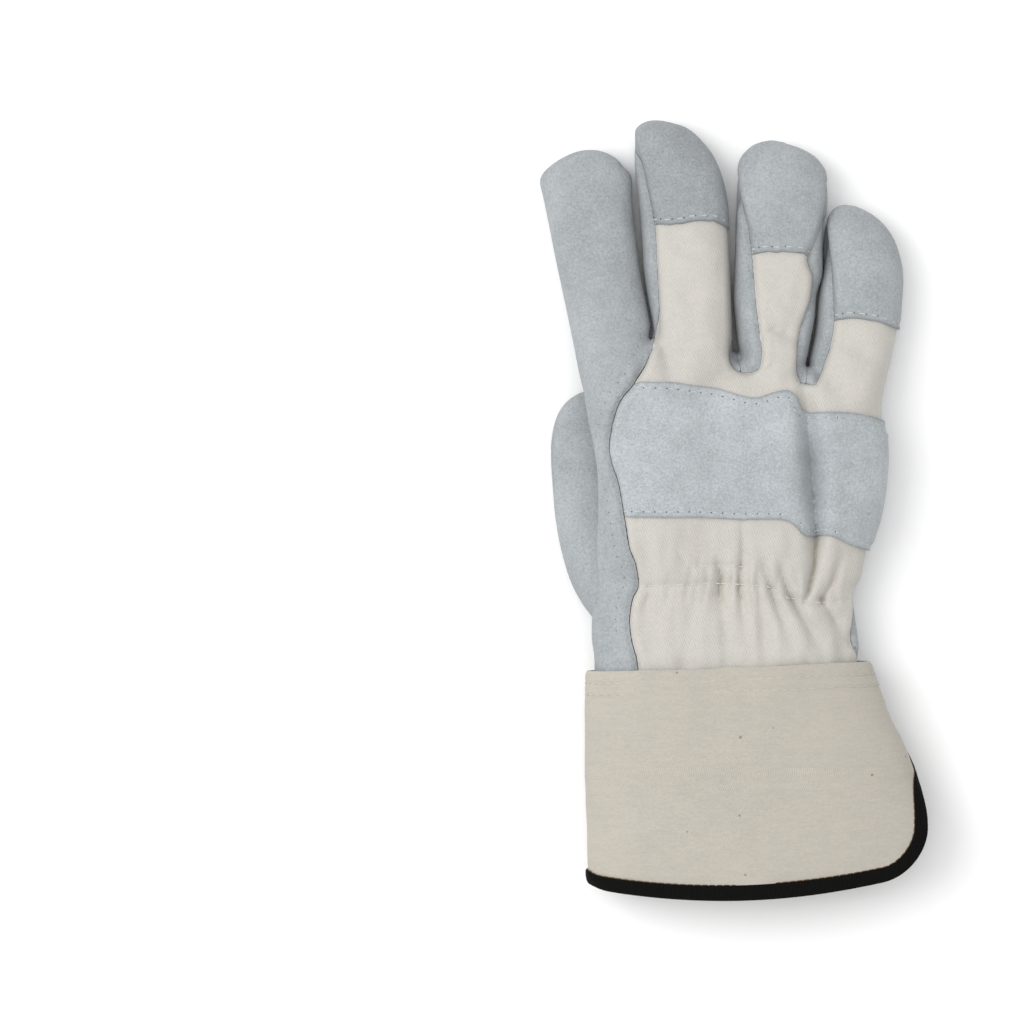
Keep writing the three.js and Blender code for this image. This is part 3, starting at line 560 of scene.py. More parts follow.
def fields_of(points):
    """Every seam's field at each point of the body."""
    x, y, z = points.T
    seam = SEAM_HEIGHT + SEAM_SLOPE * y + 0.55 * lift_at(x, y)
    drawn_up = 5.5 * bell(y + 47, 12) * smooth_step(20, 40, x)  # by the cuff, on the little finger's side
    gap = {pair: x - line_at(line, y) for pair, line in BETWEEN.items()}
    to_index, to_middle, to_ring = gap.values()
    fields = {"cover": np.minimum(outline_field(cover_outline, points), z - seam - drawn_up)}
    edges = np.where(to_middle < 0, line_at(CAP_EDGES["middle"], x), line_at(CAP_EDGES["ring"], x))
    edges = np.where(to_ring > 0, line_at(CAP_EDGES["little"], x), edges)
    edges = np.where(to_index < 0, 400, edges + 0.3 * bumps(x / 2.4, 0 * x, 51))
    fields["tip"] = y - edges
    fields["strap"] = np.minimum(outline_field(strap_outline, points), fields["cover"] + 0.3)
    front = y - line_at(PALM_BASE_SEAM, x)
    fields["middle"] = np.minimum.reduce([to_index, -to_middle, front])
    fields["ring"] = np.minimum.reduce([to_middle, -to_ring, front])
    fields["between"] = to_ring
    fields["index"] = np.minimum(z - seam, -to_index)
    return fields


# %% [markdown]
# ## Pressing in the folds
#
# On the real glove a fold runs on from the cotton into the strap that is sewn over it. Folding each
# panel by itself would leave gaps between them. So the lift and the folds move the whole body
# before it is cut, and every panel follows them.

# %% Lift and fold the body
def fold_depth(points, runs):
    """How far folds sink each point. The deepest stretch of a run counts, and crossing runs add up."""
    total = np.zeros(len(points))
    for run in runs:
        deepest = np.zeros(len(points))
        for a, b in zip(np.array(run, float)[:-1], np.array(run, float)[1:]):
            way = b[:2] - a[:2]
            share = np.clip((points[:, :2] - a[:2]) @ way / (way @ way), 0, 1)
            away = np.linalg.norm(points[:, :2] - a[:2] - share[:, None] * way, axis=1)
            depth, spread = (a[i] + (b[i] - a[i]) * share for i in (2, 3))
            deepest = np.maximum(deepest, depth * bell(away, spread))
        total += deepest
    return total


def uneven(table, x, y):
    return sum(high * bumps(x / over, y / up, seed) for over, up, high, seed in table)


x, y, z = body.T
raise_by = lift_at(x, y) * (1 - LIFT["squeeze"] * z / LIFT["body"])
on_back = smooth_step(0.15, 0.7, normals_of(body, body_faces)[:, 2])
near_elastic = bell(y - GATHER["along"], GATHER["reach"])
left, right = GATHER["left"], GATHER["right"]
in_gather = smooth_step(left - 8, left, x) * (1 - smooth_step(right - 6, right, x))
ripple = np.sin(2 * math.pi * (x + 1.6 * np.sin(y / 7) + 0.8 * np.sin(x / 5)) / GATHER["pitch"])
rows_pulled = sum(
    0.45 * bell(y - line_at(row, x), 1.3) * (x > row[0][0]) * (x < row[-1][0] + 2) for row in ELASTIC.values()
)
crease = fold_depth(body, CREASES)
sink = fold_depth(body, FOLDS) + crease + rows_pulled
sink -= GATHER["height"] * near_elastic * in_gather * ripple
in_cover, in_strap = (outline_field(outline, body) for outline in (cover_outline, strap_outline))
on_cotton = smooth_step(-1, 3, in_cover) * smooth_step(-1, 3, -in_strap)
at_wrist = (1 - smooth_step(-22, 2, y)) * on_cotton
wrinkle = uneven(WRINKLES, x, y) * (0.4 + 0.6 * on_cotton) + at_wrist * uneven(WRIST_WRINKLES, x, y)
body = body + np.column_stack([0 * x, 0 * y, raise_by - on_back * (sink + wrinkle)])
body[:, 2] = np.maximum(body[:, 2], 0)
body = relax(body, body_faces, 1, 0.3)
fields = fields_of(body)
print("deepest fold:", round(float(sink.max()), 1), "mm")

# %% [markdown]
# ## Turned seams
#
# Along a turned seam both panels roll inwards to meet. A bump texture would darken the line but
# leave the outline straight, so the points themselves move. The groove is narrow and uneven, with a
# slight swelling beside it, where the seam allowance lies inside.

# %% Grooves along the seams
def groove(distance, depth=1.3, spread=1.0, swell=0.3):
    return depth * bell(distance, spread) - swell * bell(np.abs(distance) - 3, 1.5)


def past(edge, over, value):
    """A large distance where value is past an edge, eased in before it."""
    return 20 * smooth_step(edge - over, edge, value)


body_normals = normals_of(body, body_faces)
pucker = 1 + 0.12 * bumps(body[:, 0] / 2, body[:, 1] / 2, 21)
index_gap, ring_gap = (
    body[:, 0] - line_at(BETWEEN[pair], body[:, 1]) for pair in (("index", "middle"), ("middle", "ring"))
)
to_gap = np.minimum(
    np.abs(index_gap) + 20 - past(59, 2, body[:, 1]), np.abs(ring_gap) + 20 - past(52, 2, body[:, 1])
)
faint = 0.75 * smooth_step(91, 95, body[:, 1]) * (fields["between"] < 0) * (body[:, 0] > 18)
depth = groove(fields["cover"]) * pucker * smooth_step(0.5, 2.6, to_gap) * (1 - faint)
above_fork = past(50, 4, body[:, 1])
front_seams = np.minimum.reduce([
    np.abs(fields["middle"]) + above_fork, np.abs(fields["ring"]) + above_fork,
    np.abs(fields["index"]) + past(-3, 2, index_gap),
])
depth = np.where(fields["cover"] < -2.5, depth + groove(front_seams, 1.1), depth)
surface = body - body_normals * depth[:, None]
surface[:, 2] = np.maximum(surface[:, 2], 0)
print("deepest seam:", round(float(depth.max()), 2), "mm")

# %% [markdown]
# ## Cutting panels
#
# A panel of leather or cotton is the part of the body where a field is positive. A Boolean modifier
# could cut it out, but it needs a cutter for each seam and is slow. Here the triangles that the zero
# line crosses are split on it, so the edge is a clean line, and a Solidify modifier thickens the
# sheet inwards.

# %% Cut a sheet along the zero line of a field
def crossings(triangles, field, level=0.0):
    """Where a field's line crosses the sides of triangles.

    Gives the points at both ends of each crossed side, the share of the way between them, and for
    each triangle the numbers of its three sides' crossings, with -1 for none.
    """
    above = field > level
    sides = triangles[:, [0, 1, 1, 2, 2, 0]].reshape(-1, 2)
    crossed = above[sides[:, 0]] != above[sides[:, 1]]
    pairs, which = np.unique(np.sort(sides[crossed], axis=1), axis=0, return_inverse=True)
    near, far = field[pairs[:, 0]], field[pairs[:, 1]]
    number = np.full(len(sides), -1)
    number[crossed] = which.ravel()
    return pairs, ((level - near) / (far - near))[:, None], number.reshape(-1, 3)


def between(values, pairs, share):
    return values[pairs[:, 0]] * (1 - share) + values[pairs[:, 1]] * share


def clip(data, triangles, field):
    """Keeps the triangles where field > 0. The columns of data are carried to the new points."""
    pairs, share, number = crossings(triangles, field)
    added = between(data, pairs, share)
    on_side = number + len(data)
    inside = (field > 0)[triangles]
    count = inside.sum(axis=1)
    made = [triangles[count == 3]]
    for first in range(3):
        second, third = (first + 1) % 3, (first + 2) % 3
        lone = (count == 1) & inside[:, first]
        made.append(np.column_stack([triangles[lone, first], on_side[lone, first], on_side[lone, third]]))
        cut = (count == 2) & ~inside[:, first]
        start, end = on_side[cut, first], on_side[cut, third]
        made.append(np.column_stack([start, triangles[cut, second], triangles[cut, third]]))
        made.append(np.column_stack([start, triangles[cut, third], end]))
    triangles = np.vstack(made)
    used, renumbered = np.unique(triangles, return_inverse=True)
    return np.vstack([data, added])[used], renumbered.reshape(-1, 3)


def panel(name, field, outset=0.0, thickness=LEATHER, from_raw_edge=99.0):
    """Cuts one panel out of the body and gives it its thickness."""
    outset = np.broadcast_to(outset, len(surface))
    # painted shade along a raw edge, fading out within about a millimetre of it
    raw_edge_shade = bell(np.broadcast_to(from_raw_edge, len(surface)), 0.6)
    moved = surface + body_normals * outset[:, None]
    data = np.column_stack([moved, *fields.values(), crease, np.abs(body_normals[:, 0]), raw_edge_shade])
    data[:, 2] = np.maximum(data[:, 2], 0)
    data, triangles = clip(data, body_faces, field)
    made = new_object(name, data[:, :3], triangles)
    # "fold" keeps the creases' depth, by which the cotton's material darkens the creases as painted shade
    for attribute, column in (("fold", -3), ("steep", -2), ("raw_edge_shade", -1)):
        made.data.attributes.new(attribute, "FLOAT", "POINT").data.foreach_set("value", data[:, column])
    return thicken(made, thickness), data, triangles


wrist = body[:, 1] + 68
cover, tip = fields["cover"], fields["tip"]
on_thumb_side = (1 - smooth_step(-34, -26, body[:, 0])) * (1 - smooth_step(50, 66, body[:, 1]))
half_slot = HALF_SLOT + 0.09 * on_thumb_side
cotton = cover - half_slot
leather = np.minimum(-cover - half_slot, wrist)
fronts = {"index_back": "index", "middle_front": "middle", "ring_front": "ring"}
palm = np.minimum.reduce([leather, *(-fields[name] - HALF_SLOT for name in fronts.values())])
under_strap = -1.0 * smooth_step(0.4, 2.2, fields["strap"])
panels = {
    "back": panel("back_cotton", np.minimum.reduce([cotton, -tip + 1.5, wrist]), under_strap, COTTON),
    "palm": panel("palm_leather", palm),
}
for name, front in fronts.items():
    panels[name] = panel(f"{name}_leather", np.minimum(leather, fields[front] - HALF_SLOT))
for name, panel_made in panels.items():
    print(name, len(panel_made[2]), "triangles on its outside")

# %% [markdown]
# ## Leather laid on the cotton
#
# The knuckle strap and the fingertip caps lie on the cotton with raw edges, held by a row of
# stitches that pulls them in a little. A Shrinkwrap modifier could lay a flat band there, but they
# are cut from the same body, moved outwards by their thickness, and so share its folds.

# %% Strap and caps
strap_edge = outline_field(strap_outline, body)
strap = np.minimum(strap_edge, cotton)
at_side = smooth_step(40, 52, body[:, 0])
overhang = 0.9 * at_side * smooth_step(0, 4, strap_edge)
on_cotton_side = smooth_step(-0.5 - 2 * at_side, 2.5 - 1.5 * at_side, cover)
strap_out = (1.1 + overhang) * on_cotton_side - 0.3 * bell(strap_edge - EDGE_MARGIN, 0.8)
panels["knuckle_strap"] = panel("knuckle_strap_leather", strap, strap_out, STRAP_LEATHER, strap_edge)
cap_out = 1.0 * smooth_step(0, 3, cover) - 0.3 * bell(tip - EDGE_MARGIN, 0.8)
beside_little = fields["between"]
finger_of = {
    "middle_tip": -ring_gap, "ring_tip": np.minimum(ring_gap, -beside_little), "little_tip": beside_little,
}
for name, this_finger in finger_of.items():
    field = np.minimum.reduce([cotton, tip, this_finger])
    panels[name] = panel(f"{name}_leather", field, cap_out, CAP_LEATHER, tip)
    print(name, len(panels[name][2]), "triangles on its outside")

# %% [markdown]
# ## Thumb
#
# The thumb is a separate leather piece that lies under the hand. Only its side shows from above, so
# it needs one side seam and no folds. It is a loft that gets the same even mesh as the body.

# %% Thumb
thumb, thumb_triangles = fuse([(thumb_points, thumb_faces)], VOXEL)
thumb = relax(thumb, thumb_triangles, 8)
side_seam = thumb[:, 2] - 8.5
thumb_normals = normals_of(thumb, thumb_triangles)
outer = smooth_step(40, 52, -thumb[:, 0])
thumb = thumb - thumb_normals * (groove(side_seam, 1.0) * outer)[:, None]
thumb[:, 2] = np.maximum(thumb[:, 2], 0)
thumb_piece = new_object("thumb_leather", thumb, thumb_triangles)
thumb_piece.data.shade_smooth()
print("thumb:", len(thumb_triangles), "triangles")

# %% [markdown]
# ## Cuff
#
# The cuff is one stiff sheet that goes round the wrist and ends in two flaps on the little
# finger's side. A point of it is given by its turn round the wrist, from 0 at the back flap's edge
# to 1 at the palm flap's, and its place along the glove. The binding, the tongue and the rows of
# stitches lie on the same sheet, so one rule places them all and they can't drift apart.

# %% Points of the cuff
CUFF = [  # along, left, right, under, top, and degrees from the side's middle to each flap's edge
    (-46, -54, 46.2, 1.4, 36.8, -26, 43), (-72, -54, 55, 0.8, 37.8, -28, 43),
    (-82, -53.9, 59.6, 0.5, 38, -25, 42), (-92, -53.8, 63.8, 0.4, 38, -7, 40),
    (-102, -53.6, 66.6, 0.4, 38, 12, 36),
    (-114, -53.4, 68.6, 0.4, 37.8, 28, 34), (-130, -53.2, 68.5, 0.4, 37.4, 33, 35),
    (-134, -52.6, 68.4, 0.4, 37.2, 34.5, 35), (-136.5, -50.8, 68.3, 0.4, 37.1, 35, 35),
    (-142, -46.6, 68.2, 0.4, 37, 35, 35),
]
CUFF_REST = 1.8
CUFF_EDGE = {"middle": -56.4, "slope": 0.038}
CUFF_HEM = {"lowest": -138.7, "at": -8, "bow": 0.0017, "fold": -53.6}
CUFF_CORNER = 15
CUFF_ROWS = (4.3, 8.5)  # rows of stitches below its top edge
BEYOND = 0.25
cuff_rows = spline(CUFF, 120)
cuff_rows = cuff_rows[np.argsort(cuff_rows[:, 0])]


def cuff_section(angle, along, offset):
    left, right, under, top, slit = (np.interp(along, cuff_rows[:, 0], cuff_rows[:, i]) for i in range(1, 6))
    edge, _ = round_point(np.radians(np.maximum(slit, 0)), 1, 1)
    reach = (right - left) / 2 * (1 + np.maximum(np.cos(angle), 0) * (1 / edge - 1))
    across, up = round_point(angle, reach + offset, (top - under) / 2 + offset)
    height = np.maximum((top + under) / 2 + up, CUFF_REST - offset)
    return np.stack(np.broadcast_arrays((left + right) / 2 + across, along, height), axis=-1)


ALONGS = np.linspace(-146, -44, 52)
TURNS = np.linspace(-0.06, 1.06, 225)
angle_table = []
girths = []
for along in ALONGS:
    slit, slit_under = (math.radians(np.interp(along, cuff_rows[:, 0], cuff_rows[:, i])) for i in (5, 6))
    angles = np.linspace(slit - BEYOND, 2 * math.pi - slit_under + BEYOND, 400)
    points = cuff_section(angles, np.full(400, along), 0)
    lengths = np.concatenate([[0], np.cumsum(np.linalg.norm(np.diff(points, axis=0), axis=1))])
    start, end = np.interp([slit, 2 * math.pi - slit_under], angles, lengths)
    angle_table.append(np.interp(start + TURNS * (end - start), lengths, angles))
    girths.append(end - start)
angle_table = np.array(angle_table)
GIRTH = float(np.interp(-125, ALONGS, girths))


def cuff_point(turn, along, offset):
    turn, along, offset = np.broadcast_arrays(*(np.asarray(v, float) for v in (turn, along, offset)))
    row = np.clip((along - ALONGS[0]) / (ALONGS[1] - ALONGS[0]), 0, len(ALONGS) - 1.001)
    column = np.clip((turn - TURNS[0]) / (TURNS[1] - TURNS[0]), 0, len(TURNS) - 1.001)
    i, j = row.astype(int), column.astype(int)
    s, t = row - i, column - j
    near = angle_table[i, j] * (1 - t) + angle_table[i, j + 1] * t
    far = angle_table[i + 1, j] * (1 - t) + angle_table[i + 1, j + 1] * t
    return cuff_section(near * (1 - s) + far * s, along, offset)


def cuff_top(turn):
    across = cuff_point(turn, -58, 0)[..., 0]
    uneven = 0.3 * bumps(across / 9, 0 * across, 31) + 0.15 * bumps(across / 2.5, 0 * across, 32)
    return CUFF_EDGE["middle"] + CUFF_EDGE["slope"] * across + uneven


def hem_line(turn):
    across = cuff_point(turn, -125, 0)[..., 0]
    rise = 1.2 * bell(across - CUFF_HEM["fold"], 2.6)
    return CUFF_HEM["lowest"] + CUFF_HEM["bow"] * (across - CUFF_HEM["at"]) ** 2 + rise


def cuff_bottom(turn):
    turn = np.asarray(turn, float)
    short = np.maximum(CUFF_CORNER - np.minimum(turn, 1 - turn) * GIRTH, 0)
    return hem_line(turn) + CUFF_CORNER - np.sqrt(CUFF_CORNER**2 - short**2)


print("girth of the cuff near its hem:", round(GIRTH), "mm")

# %% [markdown]
# ## The cuff's canvas
#
# The real cuff is two plies of stiff canvas, sewn together along its top edge. A flat sheet bent by
# a Simple Deform modifier would do for a plain tube, but not for this flare and slit. So a grid of
# points is laid out by the rule above, with a slight unevenness and a dip along each row of
# stitches. Its place on the flat cloth is kept as an attribute, so that the weave can follow it.

# %% Cuff
CANVAS_WAVES = [(21, 17, 0.5, 41), (7, 6, 0.16, 42)]  # as in WRINKLES


def grid_faces(rows, columns, start=0):
    index = np.arange(rows * columns).reshape(rows, columns) + start
    return np.stack([index[:-1, :-1], index[:-1, 1:], index[1:, 1:], index[1:, :-1]], axis=-1).reshape(-1, 4)


def sheet_between(name, outer, inner):
    """A closed sheet between two grids of points."""
    rows, columns = outer.shape[:2]
    count = rows * columns
    index = np.arange(count).reshape(rows, columns)
    rim = np.concatenate([index[0, :-1], index[:-1, -1], index[-1, :0:-1], index[:0:-1, 0]])
    step = np.roll(rim, -1)
    faces = [
        *grid_faces(rows, columns).tolist(), *grid_faces(rows, columns, count)[:, ::-1].tolist(),
        *np.column_stack([rim + count, step + count, step, rim]).tolist(),
    ]
    return smooth(new_object(name, np.vstack([outer.reshape(-1, 3), inner.reshape(-1, 3)]), faces), 50)


edge_turns = CUFF_CORNER / GIRTH * (1 - np.cos(np.linspace(0, math.pi / 2, 26)))
mid_turns = np.linspace(edge_turns[-1], 1 - edge_turns[-1], 210)[1:-1]
cuff_turns = np.concatenate([edge_turns, mid_turns, 1 - edge_turns[::-1]])
depths = np.concatenate([[0, 0.004, 0.009, 0.015], np.linspace(0.03, 1, 60)])[:, None]
cuff_alongs = cuff_top(cuff_turns) * (1 - depths) + cuff_bottom(cuff_turns) * depths
turn_grid = np.broadcast_to(cuff_turns, cuff_alongs.shape)
plain = cuff_point(turn_grid, cuff_alongs, 0)
below_top = (cuff_top(cuff_turns) - cuff_alongs) + 0 * plain[..., 0]
ease = uneven(CANVAS_WAVES, plain[..., 0] + plain[..., 2], plain[..., 1]) - 0.5 * bell(below_top, 0.7)
for row_below in CUFF_ROWS:
    ease -= 0.18 * bell(below_top - row_below, 0.9)
outer, inner = (cuff_point(turn_grid, cuff_alongs, offset) for offset in (ease, ease * 0.6 - CANVAS))
cuff_piece = sheet_between("cuff_canvas", outer, inner)
flat_cloth = np.dstack([-turn_grid * GIRTH, cuff_alongs, 0 * cuff_alongs]).reshape(-1, 3)
unrolled = cuff_piece.data.attributes.new("unrolled", "FLOAT_VECTOR", "POINT")
unrolled.data.foreach_set("vector", np.vstack([flat_cloth, flat_cloth]).ravel())
print("cuff:", len(cuff_piece.data.polygons), "faces")

# %% [markdown]
# ## Binding
#
# Black tape is folded over the cuff's cut edge and runs down one side of the slit, round the hem and
# up the other. A bevelled curve would twist at the round corners. So its profile, a U, is carried
# along the edge in the cuff's own directions: into the sheet and off it.

# %% Binding tape
TAPE = {"width": 5.6, "over": 1.2, "wall": 0.55, "clear": 0.1}


def edge_stations(slit_steps=70, corner_steps=26, hem_steps=260):
    """Turn, place along, and the way into the cuff, at stations down, round and up the cut edge."""
    def side(flip):
        at = 1.0 if flip else 0.0
        low, high = hem_line(at) + CUFF_CORNER, cuff_top(at) - 0.3
        slit = [(0.0, place, 1.0, 0.0) for place in np.linspace(high, low, slit_steps, endpoint=False)]
        corner = []
        for angle in np.linspace(0, math.pi / 2, corner_steps, endpoint=False):
            turn = CUFF_CORNER * (1 - math.cos(angle)) / GIRTH
            place = float(cuff_bottom(1 - turn if flip else turn))
            corner.append((turn, place, math.cos(angle), math.sin(angle)))
        sign = -1 if flip else 1
        return [(1 - t if flip else t, p, sign * into, up) for t, p, into, up in slit + corner]

    start = CUFF_CORNER / GIRTH
    hem = [(t, float(cuff_bottom(t)), 0.0, 1.0) for t in np.linspace(start, 1 - start, hem_steps)]
    return np.array(side(False) + hem + side(True)[::-1])


def ribbon(name, rings):
    """Joins closed rings of points into a solid with flat ends."""
    count, around = rings.shape[:2]
    index = np.arange(count * around).reshape(count, around)
    step = np.roll(index, -1, axis=1)
    faces = np.stack([index[:-1], index[1:], step[1:], step[:-1]], axis=-1).reshape(-1, 4).tolist()
    faces += [index[0].tolist(), index[-1, ::-1].tolist()]
    return smooth(new_object(name, rings.reshape(-1, 3), faces), 60)


def tape_profile():
    leg = TAPE["width"] - TAPE["over"]
    out, back = TAPE["clear"] + TAPE["wall"], -CANVAS - TAPE["clear"] - TAPE["wall"]
    middle, half = (out + back) / 2, (out - back) / 2
    angles = np.linspace(0.25, math.pi - 0.25, 9)
    bend = [(-TAPE["over"] * math.sin(angle), middle + half * math.cos(angle)) for angle in angles]
    legs_out = [(leg, out - 0.25), (leg - 0.4, out), (leg / 2, out + 0.05), (0.6, out)]
    legs_back = [(0.6, back), (leg / 2, back), (leg - 0.4, back), (leg, back + 0.25)]
    clear, under = TAPE["clear"], -CANVAS - TAPE["clear"]
    inner = [(leg, under), (leg / 2, under), (-0.2, under), (-0.2, clear), (leg / 2, clear), (leg, clear)]
    return np.array(legs_out + bend + legs_back + inner)


stations = edge_stations()
profile = tape_profile()
turns = stations[:, None, 0] + stations[:, None, 2] / GIRTH * profile[:, 0]
alongs = stations[:, None, 1] + stations[:, None, 3] * profile[:, 0]
binding_piece = ribbon("cuff_binding_tape", cuff_point(turns, alongs, profile[:, 1]))
print("binding:", len(binding_piece.data.polygons), "faces")

# %% [markdown]
# ## Tongue
#
# On the palm side the leather laps over the cuff as a tongue with round corners. It lies close on
# the canvas, so it is cut from a grid that follows the cuff's rule, a leather's thickness off it.

# %% Tongue
tongue_turns = np.linspace(0.5, 1, 190)
tongue_alongs = np.linspace(-47, -87, 60)
grid = cuff_point(*np.meshgrid(tongue_turns, tongue_alongs), GAP + 1.5)
points = grid.reshape(-1, 3)
quads = grid_faces(60, 190)
triangles = np.vstack([quads[:, :3], quads[:, [0, 2, 3]]])
tongue_field = outline_field(TONGUE, points)
low_side = SEAM_HEIGHT + 1 - points[:, 2]  # only the side that the glove lies on
data, triangles = clip(np.column_stack([points, tongue_field]), triangles, np.minimum(tongue_field, low_side))
tongue_piece = thicken(new_object("tongue_leather", data[:, :3], triangles), TONGUE_LEATHER)
panels["tongue"] = (tongue_piece, data, triangles)
print("tongue:", len(triangles), "triangles on its outside")

# %% [markdown]
# ## Rows of stitches
#
# A sewing machine keeps its row at one distance from an edge. Drawing each row by hand would miss
# that. Here a row follows the line where a field has one value, such as 1.9 mm inside a leather
# edge. It is traced across the triangles and kept as a chain of points with the surface's normal.

# %% Trace rows on a surface
def trace(points, triangles, field, level, wanted, shortest=12):
    """Chains of points, with normals, where field equals level and wanted is true."""
    pairs, share, number = crossings(triangles, field, level)
    places = between(points, pairs, share)
    facing = between(normals_of(points, triangles), pairs, share)
    good = wanted[pairs].all(axis=1)
    links = {}
    for trio in number:
        ends = [k for k in trio if k >= 0]
        if len(ends) == 2 and good[ends[0]] and good[ends[1]]:
            links.setdefault(ends[0], []).append(ends[1])
            links.setdefault(ends[1], []).append(ends[0])
    chains = []
    starts = [k for k in links if len(links[k]) == 1] + list(links)
    seen = set()
    for start in starts:
        if start in seen:
            continue
        chain, here = [], start
        while here is not None:
            seen.add(here)
            chain.append(here)
            here = next((k for k in links[here] if k not in seen), None)
        run = places[chain]
        if np.linalg.norm(np.diff(run, axis=0), axis=1).sum() > shortest:
            chains.append((run, facing[chain]))
    return chains


def column(data, name):
    """The values of one of the body's fields at a panel's points."""
    return data[:, 3 + list(fields).index(name)]


def trace_panel(kind, name, field, level, wanted):
    """Adds a panel's row. field and wanted work out their values from its points and fields."""
    _, data, triangles = panels[name]
    rows[kind] += trace(data[:, :3], triangles, field(data), level, wanted(data))


def on_cover(data):
    return column(data, "cover") > 0.8  # clear of the turned seams


STRIP_HOLES = 4.6  # from the back's edge to the needle holes in the strip beside it
TONGUE_MARGIN = 2.0


def along_elastic(row):
    """How far points are from a row over the elastic, and which of them it reaches."""
    return (lambda data: data[:, 1] - line_at(row, data[:, 0]),
            lambda data: (data[:, 0] > row[0][0]) & (data[:, 0] < row[-1][0]) & (data[:, 2] > 18))


rows = {"leather": [], "cotton": [], "canvas": [], "holes": [], "tape": []}
in_strap = functools.partial(outline_field, strap_outline)
trace_panel("leather", "knuckle_strap", in_strap, EDGE_MARGIN, on_cover)
for name in finger_of:
    trace_panel("leather", name, lambda data: column(data, "tip"), EDGE_MARGIN, on_cover)
trace_panel("leather", "tongue", lambda data: data[:, 3], TONGUE_MARGIN, lambda data: data[:, 1] < -52)
for row in ELASTIC.values():
    from_row, in_row = along_elastic(row)
    trace_panel("cotton", "back", from_row, 0, in_row)
trace_panel("holes", "index_back", lambda data: column(data, "cover"), -STRIP_HOLES,
            lambda data: (data[:, 1] > -45) & (data[:, 1] < 62) & (data[:, 0] > -52))


def cuff_row(turns, alongs, offset=0.05):
    """A chain on the cuff's outside, with the direction outwards at each point."""
    run = cuff_point(turns, alongs, offset)
    return run, cuff_point(turns, alongs, offset + 1) - run


turns = np.linspace(0.01, 0.99, 500)
for row_below in CUFF_ROWS:
    rows["canvas"].append(cuff_row(turns, cuff_top(turns) - row_below, -0.02))
inside = TAPE["width"] - TAPE["over"] + 0.15
at_turn, at_along, into, upward = stations.T
rows["tape"].append(cuff_row(at_turn + into / GIRTH * inside, at_along + upward * inside))
print({kind: len(found) for kind, found in rows.items()})

# %% [markdown]
# Geometry Nodes set the stitches out along these chains: one modifier, with inputs for the pitch
# and the stitch's size, does every row. The stitch lies along the row and stands on the surface's
# normal, which each chain carries as an attribute.

# %% Geometry Nodes tree for a row of stitches
def add_node(tree, kind, settings=(), inputs=()):
    made = tree.nodes.new(kind)
    for name, value in dict(settings).items():
        setattr(made, name, value)
    for key, value in dict(inputs).items():
        if isinstance(value, bpy.types.NodeSocket):
            tree.links.new(value, made.inputs[key])
        else:
            made.inputs[key].default_value = value
    return made


def stitch_tree():
    tree = bpy.data.node_groups.new("row_of_stitches", "GeometryNodeTree")
    face = tree.interface
    face.new_socket("Geometry", in_out="INPUT", socket_type="NodeSocketGeometry")
    sizes = {"Pitch": STITCH_PITCH, "Start": 1.0, "Length": 2.6, "Width": 0.7, "Height": 0.4}
    for name, value in sizes.items():
        face.new_socket(name, in_out="INPUT", socket_type="NodeSocketFloat").default_value = value * MM
    face.new_socket("Material", in_out="INPUT", socket_type="NodeSocketMaterial")
    face.new_socket("Geometry", in_out="OUTPUT", socket_type="NodeSocketGeometry")
    given = tree.nodes.new("NodeGroupInput").outputs

    def node(kind, settings=(), **inputs):
        return add_node(tree, kind, settings, inputs).outputs[0]

    curve = node("GeometryNodeMeshToCurve", Mesh=given["Geometry"])
    from_start = {"Curve": curve, 4: given["Start"], 5: 10.0}  # the sockets of the start and end lengths
    trimmed = add_node(tree, "GeometryNodeTrimCurve", {"mode": "LENGTH"}, from_start).outputs[0]
    spaced = node("GeometryNodeResampleCurve", {"mode": "LENGTH"}, Curve=trimmed, Length=given["Pitch"])
    ball = node("GeometryNodeMeshUVSphere", Segments=8, Rings=5, Radius=0.5)
    facing = node("GeometryNodeInputNamedAttribute", {"data_type": "FLOAT_VECTOR"}, Name="facing")
    along = node("FunctionNodeAlignRotationToVector", {"axis": "X"}, Vector=node("GeometryNodeInputTangent"))
    turned = node("FunctionNodeAlignRotationToVector", {"axis": "Z", "pivot_axis": "X"},
                  Rotation=along, Vector=facing)
    size = node("ShaderNodeCombineXYZ", X=given["Length"], Y=given["Width"], Z=given["Height"])
    placed = node("GeometryNodeInstanceOnPoints", Points=spaced, Instance=ball, Rotation=turned, Scale=size)
    real = node("GeometryNodeRealizeInstances", Geometry=placed)
    smooth = node("GeometryNodeSetShadeSmooth", Geometry=real)
    painted = node("GeometryNodeSetMaterial", Geometry=smooth, Material=given["Material"])
    tree.links.new(painted, tree.nodes.new("NodeGroupOutput").inputs[0])
    return tree


STITCHES = stitch_tree()
GIVEN = {item.name: item.identifier for item in STITCHES.interface.items_tree if item.in_out == "INPUT"}
print("inputs:", list(GIVEN))

# %% [markdown]
# ## Sewing
#
# The chains of one thread become one mesh of edges, which carries the modifier. Its inputs are set
# by their identifiers. When the modifier is settled, what is left is the stitches alone.

# %% Set the rows of stitches
def sew(name, chains, material, sizes):
    """Makes one mesh of all the stitches along some chains."""
    points, facing = (np.vstack([chain[i] for chain in chains]) for i in (0, 1))
    edges, start = [], 0
    for run, _ in chains:
        edges += [(k, k + 1) for k in range(start, start + len(run) - 1)]
        start += len(run)
    made = new_object(name, points, [], edges)
    facing = facing / np.linalg.norm(facing, axis=1, keepdims=True)
    made.data.attributes.new("facing", "FLOAT_VECTOR", "POINT").data.foreach_set("vector", facing.ravel())
    modifier = made.modifiers.new("stitches", "NODES")
    modifier.node_group = STITCHES
    modifier[GIVEN["Material"]] = material
    for size, value in sizes.items():
        modifier[GIVEN[size]] = value * MM
    return settle(made)


# %% [markdown]
# ## Finishes
#
# The finishes share three effects: a soft mottle, a diagonal weave and stray flecks. They could be
# built anew in each material, but as node groups they are made once and set by their inputs. They
# read Object coordinates in millimetres, so their scale is real.

